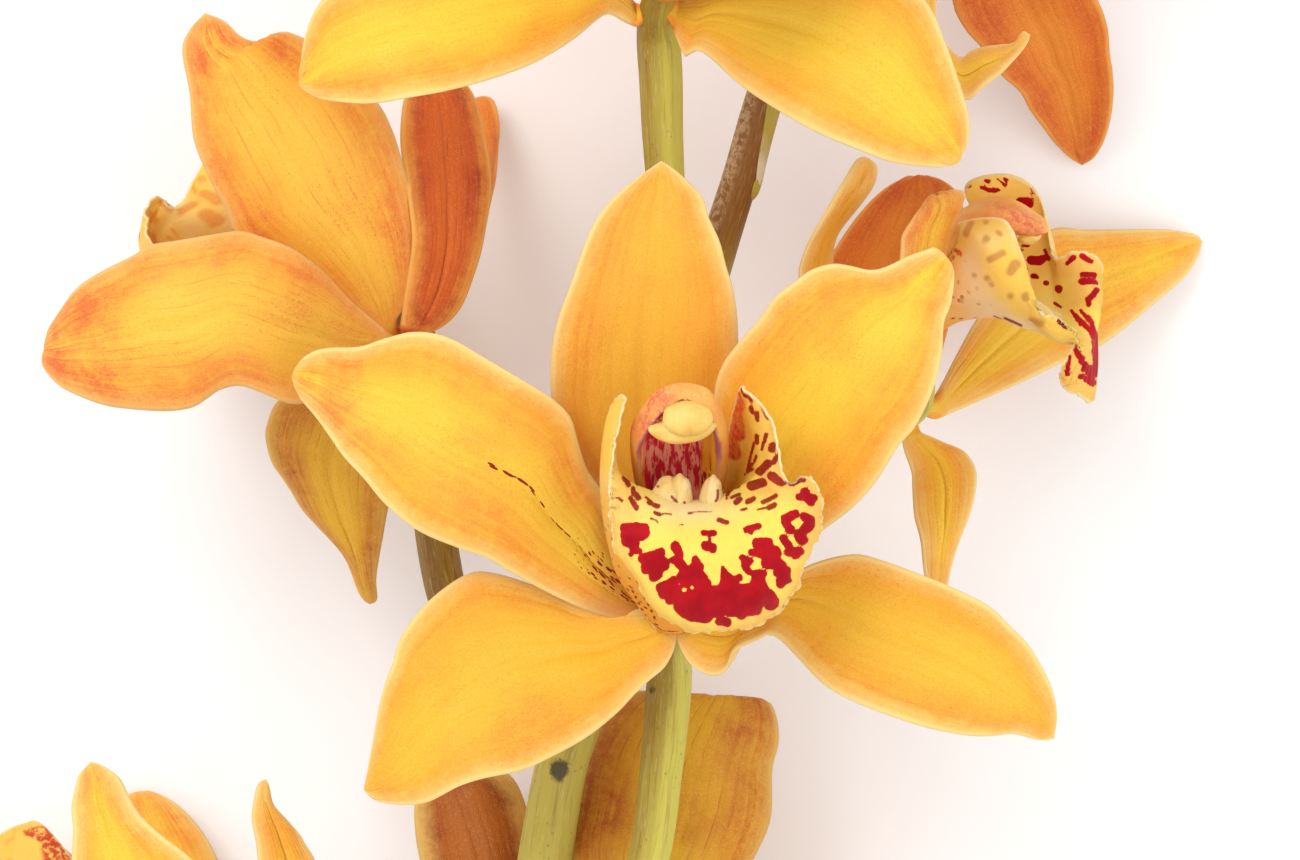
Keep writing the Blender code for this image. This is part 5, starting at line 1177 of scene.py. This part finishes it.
def column_material():
    t = Tree("column")
    inner, rimline, up, sx = t.attr("inner"), t.attr("rimline"), t.attr("up"), t.attr("sx")
    ob = t.obj()
    n1, n2, n3 = t.noise(ob, 170, 2.0), t.noise(ob, 700, 3.0, 0.6), t.noise(ob, 2400, 2.0)
    out = t.mix(t.step(n1, 0.35, 0.65), lin(254, 190, 92), lin(252, 170, 84))
    # pink flush with fine grains over the top and left of the hood
    fl = t.math("MULTIPLY", t.step(sx, 2.5, -5.0), t.step(t.math("ADD", up, t.math("MULTIPLY", t.math("SUBTRACT", n1, 0.5), 0.5)), 0.50, 0.86))
    fl = t.math("MULTIPLY", fl, t.math("ADD", 0.35, t.math("MULTIPLY", t.step(n2, 0.40, 0.62), 0.65)), clamp=True)
    out = t.mix(t.math("MULTIPLY", fl, 0.85), out, lin(228, 96, 76))
    out = t.mix(t.math("MULTIPLY", t.step(n3, 0.52, 0.62), t.math("MULTIPLY", t.step(up, 0.5, 0.8), 0.35)), out, lin(255, 206, 150))
    out = t.mix(t.step(up, 0.36, 0.18), out, lin(214, 176, 80))
    # crimson floor with pale streaks that run along the column; floor and walls are lighter than their own colour, as
    # painted light against the shade inside the hood
    streak = t.noise(t.vec(t.math("MULTIPLY", sx, 1.2), t.math("MULTIPLY", up, 14.0), 0.0), 1.0, 3.0, 0.62)
    cell = t.cells(t.vec(t.math("MULTIPLY", sx, 1.1), t.math("MULTIPLY", up, 12.0), 1.0), 1.0)
    pale = t.math("MULTIPLY", t.step(streak, 0.47, 0.56), t.step(cell, 0.10, 0.30))
    floor_ = t.mix(t.math("MULTIPLY", pale, 0.9), t.mix(n2, lin(206, 24, 56, 1.0), lin(222, 52, 66, 1.0)), lin(255, 178, 146, 1.0))
    # painted light: the walls inside the hood are lighter than their own colour
    wall = t.mix(t.step(n1, 0.3, 0.7), lin(255, 190, 56, 1.0), lin(252, 168, 44, 1.0))
    dash = t.math("MULTIPLY", t.step(streak, 0.54, 0.60), t.step(up, 0.54, 0.42))
    wall = t.mix(dash, wall, lin(176, 34, 40))
    ins = t.mix(t.step(inner, 1.15, 1.55), wall, floor_)
    col = t.mix(t.step(inner, 0.2, 0.7), out, ins)
    purple = t.math("MULTIPLY", t.step(t.math("ADD", rimline, t.math("MULTIPLY", t.math("SUBTRACT", n2, 0.5), 0.5)), 0.55, 0.95), t.step(up, 0.42, 0.6))
    col = t.mix(t.math("MULTIPLY", purple, 0.8), col, lin(152, 52, 104))
    t.flesh(col, t.math("ADD", 0.42, t.math("MULTIPLY", n2, 0.2)), sub=0.10, spec=0.2)
    t.bump(t.math("ADD", t.math("MULTIPLY", streak, 0.4), t.math("ADD", t.math("MULTIPLY", n3, 0.3), t.math("MULTIPLY", n2, 0.3))), 0.28, 0.0005)
    return t.mat


def anther_material():
    t = Tree("anther_cap")
    ob = t.obj()
    n, m = t.noise(ob, 240, 2.0), t.noise(ob, 1400, 3.0)
    col = t.mix(t.step(n, 0.35, 0.7), lin(255, 217, 124), lin(252, 198, 100))
    col = t.mix(t.math("MULTIPLY", t.step(m, 0.5, 0.66), 0.12), col, lin(255, 244, 200))
    t.flesh(col, t.math("ADD", 0.36, t.math("MULTIPLY", m, 0.15)), sub=0.25, spec=0.25)
    t.bump(t.math("ADD", t.math("MULTIPLY", m, 0.4), n), 0.18, 0.0005)
    return t.mat


def stalk_material(name, young, old, dark, rough=0.42):
    """Green stalk: streaks run along it, colour changes from one end to the other; on the flower stalks one side is
    darker, as painted shade.
    """
    t = Tree(name)
    ln, ang, cut, tint, stain, bloom = t.attr("len"), t.attr("ang"), t.attr("cut"), t.attr("tint"), t.attr("stain"), t.attr("bloom")
    ob = t.obj()
    cx, cy = t.math("MULTIPLY", t.math("COSINE", ang), 2.6), t.math("MULTIPLY", t.math("SINE", ang), 2.6)
    streak = t.noise(t.vec(cx, cy, t.math("MULTIPLY", ln, 0.045)), 1.6, 4.0, 0.65)
    fine = t.noise(t.vec(t.math("MULTIPLY", cx, 4.0), t.math("MULTIPLY", cy, 4.0), t.math("MULTIPLY", ln, 0.25)), 1.6, 3.0, 0.6)
    cloud = t.noise(ob, 90, 2.0)
    col = t.mix(t.step(t.math("ADD", tint, t.math("MULTIPLY", t.math("SUBTRACT", streak, 0.5), 0.6)), 0.15, 0.85), young, old)
    col = t.mix(t.math("MULTIPLY", t.step(streak, 0.5, 0.72), 0.45), col, dark)
    col = t.mix(t.math("MULTIPLY", t.step(fine, 0.52, 0.7), 0.22), col, lin(246, 236, 170))
    dot = t.cells(ob, 700)
    col = t.mix(t.math("MULTIPLY", t.math("MULTIPLY", t.step(dot, 0.22, 0.12), t.step(cloud, 0.45, 0.6)), 0.35), col, lin(90, 66, 36))
    scurf = t.noise(ob, 1100, 3.0, 0.7)
    # pale scurf on the upper stem's left edge only: partly its own scurf, partly a painted glint
    col = t.mix(t.math("MULTIPLY", bloom, t.math("MULTIPLY", t.step(scurf, 0.40, 0.58), 0.75)), col, lin(206, 172, 130))
    smear = t.math("ADD", stain, t.math("MULTIPLY", t.math("SUBTRACT", t.noise(ob, 900, 3.0, 0.7), 0.5), 0.9))
    col = t.mix(t.math("MULTIPLY", t.step(smear, 0.35, 0.8), 0.88), col, lin(56, 50, 40))
    pith = t.mix(t.step(t.cells(ob, 1500), 0.2, 0.5), lin(176, 170, 96), lin(226, 220, 160))
    col = t.mix(t.step(cut, 0.6, 0.95), col, pith)
    t.flesh(col, t.math("ADD", rough, t.math("MULTIPLY", fine, 0.18)), sub=0.06, spec=0.32)
    t.bump(t.math("ADD", t.math("MULTIPLY", fine, 0.5), t.math("MULTIPLY", streak, 0.8)), 0.30, 0.0006)
    return t.mat


COLUMN_MAT, ANTHER_MAT = column_material(), anther_material()
PEDICEL = stalk_material("flower_stalk_green", lin(206, 194, 76), lin(162, 130, 36), lin(150, 112, 32))
PEDICEL_DARK = stalk_material("flower_stalk_olive", lin(160, 126, 30), lin(128, 84, 18), lin(98, 56, 16))
STEM_MAT = stalk_material("stem_green", lin(204, 186, 78), lin(142, 90, 22), lin(130, 92, 30))


def upright(a, b):
    """Frame with its first axis along a and its second close to b."""
    a = a / np.linalg.norm(a)
    b = b - a * (a @ b)
    b = b / np.linalg.norm(b)
    return np.stack([a, b, np.cross(a, b)], 1)


def column_place(pts, flower):
    if "column" not in FLOWERS[flower]:
        return placed(pts, flower)
    base, cap = np.array(point(671, 636, 58)), np.array(point(688, 418, 95.6))
    q = (pts - base) @ upright(cap - base, np.array([1.0, 0, 0]))
    tall = np.linalg.norm(cap - base)
    s = q[:, 0] / tall
    line = resample(dense(world(BENT), 20), np.linspace(0, 1, 240))
    tan = np.gradient(line, axis=0)
    length = np.linalg.norm(tan, axis=1).sum()
    tan /= np.linalg.norm(tan, axis=1, keepdims=True)
    for _ in range(3):
        tan[1:-1] = (tan[:-2] + tan[1:-1] + tan[2:]) / 3
    tan /= np.linalg.norm(tan, axis=1, keepdims=True)
    at = np.clip(s, 0, 1) * 239
    mid = np.stack([np.interp(at, np.arange(240), line[:, k]) for k in range(3)], 1)
    way = np.stack([np.interp(at, np.arange(240), tan[:, k]) for k in range(3)], 1)
    way /= np.linalg.norm(way, axis=1, keepdims=True)
    x = np.array([0.05, 0.25, -0.96]) - way * (way @ np.array([0.05, 0.25, -0.96]))[:, None]
    x /= np.linalg.norm(x, axis=1, keepdims=True)
    y = np.cross(way, x)
    return mid + way * ((s - np.clip(s, 0, 1)) * length)[:, None] + x * q[:, 1:2] * 0.80 + y * q[:, 2:3] * 0.60


# the line that the column seen from the side follows, from the joint to its cap
BENT = [(917, 398, 37), (919, 360, 40), (926, 315, 43), (941, 274, 46), (965, 242, 48.5), (995, 226, 50), (1028, 234, 50.5)]


def column_and_stalk(flower):
    big = flower in ("flower1", "flower4")
    parts = []
    f = FLOWERS[flower]
    pts, radii = stalk_path(flower)
    nlow = len(f["stalk"])
    low_p, low_r = pts[:nlow + 2], list(np.array(radii[:nlow]) * np.linspace(0.9, 1.03, nlow)) + [2.6, 2.3]
    tube = tube_parts(low_p + OFFSET, low_r, sides=36, rings=150 if big else 100, ridges=6, ridge=0.07, seed=len(flower) + nlow)
    V, fa, at, uv = tube
    stain = np.zeros(len(V))
    if flower == "flower1":
        s = np.array(point(652, 690, 51)) + OFFSET
        d = (V - s) * 1000
        stain = 1.0 - np.sqrt((d[:, 0] / 1.0) ** 2 + (d[:, 1] / 1.7) ** 2)
        stain = np.where(V[:, 2] > s[2] - 0.003, np.clip(stain, 0, 1), 0)
    # painted shade: one side of the flower stalk is darker; towards the column it also changes colour
    at = dict(at, tint=smooth(np.sin(at["ang"] + 2.6), -0.2, 1.0) * 0.6 + 0.35 * smooth(at["along"], 0.55, 0.95), stain=stain, cut=np.zeros(len(V)))
    parts.append((V, fa, at, uv))
    ob = joined(flower + "_stalk_skin", parts, [PEDICEL_DARK if flower in ("flower3", "flower5", "flower7") else PEDICEL])
    cv, cf, ca, cuv = column_parts(flower, 90 if big else 56, 110 if big else 72)
    col = mesh_object(flower + "_column_skin", column_place(cv, flower) + OFFSET, cf, [COLUMN_MAT], ca, cuv, weld=1e-6)
    mm = 0.001
    dent = lambda d: 1 - 0.13 * np.exp(-((d[:, 0] - 0.12) / 0.16) ** 2) * smooth(d[:, 2], -0.2, 0.6) * smooth(d[:, 1], 0.9, 0.0)
    seg, rg = (56, 40) if big else (28, 20)
    caps = [
        blob_parts(point(688, 418.5, 95.6), [(3.85 * mm, 0, 0), (0, 2.75 * mm, 0.6 * mm), (0, -0.6 * mm, 2.5 * mm)], squash=dent, seed=4, seg=seg, rings=rg, bump=0.05),
        blob_parts(point(682, 431, 93.6), [(5.0 * mm, 0.3 * mm, 0), (0, 2.0 * mm, 0.3 * mm), (0, -0.3 * mm, 1.8 * mm)], seed=8, seg=seg, rings=rg, bump=0.06),
    ]
    ledge = caps[1][0]
    ledge[:, 1] += 0.0007 * ((ledge[:, 0] - ledge[:, 0].mean()) / 0.0055) ** 2
    cap = joined(flower + "_anther", [(column_place(p[0], flower) + OFFSET,) + p[1:] for p in caps], [ANTHER_MAT])
    ob = absorb(ob, col, cap)
    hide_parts(flower + "_stalk_column")
    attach(ob, "root")


for flower in FLOWERS:
    column_and_stalk(flower)

# ---- stem -----------------------------------------------------------------------------
stem_pts = dense(world([p[:3] for p in STALK]), 10)
stem_rad = dense([[p[3]] for p in STALK], 10)[:, 0]


def bract_parts(centre, out, along, r0, length, spread, seed, lift=0.0016):
    """Small clasping scale: wraps the stem at its foot and stands off at its tip."""
    side = np.cross(along, out)
    side /= np.linalg.norm(side)
    rows, cols = 26, 22
    g = np.zeros((rows + 1, cols + 1, 3))
    for i, t in enumerate(np.linspace(0, 1, rows + 1)):
        half = spread * (1 - t) ** 0.6 * (1 - 0.15 * math.sin(t * 3.1)) + 0.02
        r = r0 + 0.0003 + lift * t ** 1.6
        for j, q in enumerate(np.linspace(-1, 1, cols + 1)):
            a = q * half
            g[i, j] = centre + along * (length * t) + (out * math.cos(a) + side * math.sin(a)) * r * (1 + 0.03 * math.sin(q * 9 + seed))
    thick = np.full((rows + 1, cols + 1), 0.00045)
    V, f, s = shell_parts(g, thick)
    tt = np.repeat(np.linspace(0, 1, rows + 1), cols + 1)
    return V, f, {"along": np.concatenate([tt, tt]), "side": s}, np.column_stack([np.tile(np.linspace(0, 1, cols + 1), (rows + 1) * 2), np.concatenate([tt, tt])])


def bract_material():
    t = Tree("bract_papery")
    al = t.attr("along")
    u, v = t.uv()
    ob = t.obj()
    n, m = t.noise(ob, 300, 3.0, 0.6), t.noise(t.vec(t.math("MULTIPLY", u, 40.0), t.math("MULTIPLY", v, 3.0), 0.0), 1.0, 3.0, 0.6)
    col = t.mix(t.step(t.math("ADD", al, t.math("MULTIPLY", t.math("SUBTRACT", n, 0.5), 0.5)), 0.45, 0.85), lin(196, 176, 70), lin(244, 232, 196))
    col = t.mix(t.math("MULTIPLY", t.step(m, 0.5, 0.7), 0.4), col, lin(150, 104, 54))
    t.flesh(col, 0.55, sub=0.1)
    t.bump(m, 0.4, 0.0005)
    return t.mat


BRACT = bract_material()


def stem():
    lo = tube_parts(stem_pts + OFFSET, stem_rad, sides=44, rings=430, ridges=14, ridge=0.018, seed=3)
    V, f, at, uv = lo
    pxy = (V - OFFSET)
    py = PAGE_B - pxy[:, 1] / UNIT
    # on the stem this carries only the change of colour along the stem
    tint = smooth(py, 420, 120)
    s = np.array(point(559, 770, 40)) + OFFSET
    d = (V - s) * 1000
    stain = np.where(V[:, 2] > s[2] - 0.003, np.clip(1.35 - np.hypot(d[:, 0], d[:, 1] * 0.85) / 1.95, 0, 1), 0)
    order = np.argsort(stem_pts[:, 1])
    mid_x = np.interp(pxy[:, 1], stem_pts[order, 1], stem_pts[order, 0])
    half = np.interp(pxy[:, 1], stem_pts[order, 1], stem_rad[order]) * 0.001
    # painted highlight: the pale scurf is put on the left edge of the upper stem only, where it stands in for a glint
    at = dict(at, tint=tint, stain=stain, bloom=smooth((mid_x - pxy[:, 0]) / half, 0.05, 0.65) * smooth(py, 430, 220))
    ob = joined("stem_skin", [(V, f, at, uv)], [STEM_MAT])
    scales = []
    for i, flower in enumerate(FLOWERS):
        fpts, fr = stalk_path(flower)
        way = fpts[1] - fpts[0]
        way /= np.linalg.norm(way)
        j = int(np.argmin(np.linalg.norm(stem_pts - fpts[0], axis=1)))
        axis = stem_pts[min(j + 1, len(stem_pts) - 1)] - stem_pts[j - 1]
        axis /= np.linalg.norm(axis)
        out = fpts[0] - stem_pts[j]
        out -= axis * (out @ axis)
        out /= np.linalg.norm(out)
        scales.append(bract_parts(stem_pts[j] - axis * 0.006 + OFFSET, out, axis, stem_rad[j] * 0.001, 0.0075, 1.25, i, lift=0.0022))
    # the papery one that hangs beside the upper stem, and a bud scale by its tip
    i = int(np.argmin(abs(stem_pts[:, 1] - point(783, 84, 43)[1])))
    axis = stem_pts[i + 1] - stem_pts[i - 1]
    axis /= np.linalg.norm(axis)
    right = np.array([1.0, -0.05, 0.25]) - axis * (np.array([1.0, -0.05, 0.25]) @ axis)
    right /= np.linalg.norm(right)
    scales.append(bract_parts(stem_pts[i] + OFFSET, right, -axis, stem_rad[i] * 0.001 * 0.93, 0.0158, 1.25, 9, lift=0.0010))
    k = int(np.argmin(abs(stem_pts[:, 1] - point(752, 182, 42)[1])))
    bud = blob_parts(stem_pts[k] + right * stem_rad[k] * 0.00095 + OFFSET, [right * 0.0009, axis * 0.0022, np.cross(right, axis) * 0.0012], seed=6, seg=18, rings=12)
    scales.append((bud[0], bud[1], {"along": np.full(len(bud[0]), 0.1), "side": np.zeros(len(bud[0]))}, bud[3]))
    sc = joined("stem_scales", scales, [BRACT])
    ob = absorb(ob, sc)
    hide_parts("stem")
    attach(ob, "root")


stem()

# ---- surface, light and camera ----------------------------------------------------------
def plain(name, colour, rough):
    t = Tree(name)
    n = t.noise(t.obj(), 30, 3.0)
    t.put(t.bsdf.inputs["Base Color"], t.mix(t.math("MULTIPLY", n, 0.04), colour, lin(240, 240, 240, 1.0)))
    t.bsdf.inputs["Roughness"].default_value = rough
    return t.mat


for ob in bpy.context.scene.objects:
    if ob.type == "MESH" and ob.name.endswith("_skin"):
        co = np.empty(len(ob.data.vertices) * 3, np.float32)
        ob.data.vertices.foreach_get("co", co)
        co[2::3] = np.maximum(co[2::3], 0.00003)
        ob.data.vertices.foreach_set("co", co)
        ob.data.update()

bpy.ops.mesh.primitive_plane_add(size=6, location=(0, 0, -0.0002))
floor = bpy.context.object
floor.name = "surface"
floor.data.materials.append(plain("pale_surface", lin(252, 252, 252, 0.94), 0.8))

world_ = bpy.data.worlds.new("studio")
bpy.context.scene.world = world_
world_.use_nodes = True
world_.node_tree.nodes["Background"].inputs[0].default_value = (1, 1, 1, 1)
world_.node_tree.nodes["Background"].inputs[1].default_value = 1.06


def area(name, loc, size, power):
    d = bpy.data.lights.new(name, "AREA")
    d.energy = power
    d.size = size
    o = bpy.data.objects.new(name, d)
    bpy.context.scene.collection.objects.link(o)
    o.location = loc
    v = np.array([0, 0, 0.05]) - np.array(loc)
    from mathutils import Vector
    o.rotation_euler = Vector(v.tolist()).to_track_quat("-Z", "Y").to_euler()
    return o


area("key", (-0.7, 0.9, 1.5), 0.9, 12.5)
area("fill", (0.9, -0.3, 1.3), 1.2, 5.5)

cam = bpy.data.cameras.new("view")
cam.sensor_width = 36
cam.lens = 36 * VIEW_H / (1300 * UNIT)
cam.clip_start, cam.clip_end = 0.01, 20
eye = bpy.data.objects.new("view", cam)
bpy.context.scene.collection.objects.link(eye)
eye.location = (SHIFT_X, SHIFT_Y, VIEW_H + LEVEL)
eye.rotation_euler = (0, 0, 0)
bpy.context.scene.camera = eye
bpy.context.scene.view_settings.view_transform = "Standard"
bpy.context.scene.view_settings.look = "None"
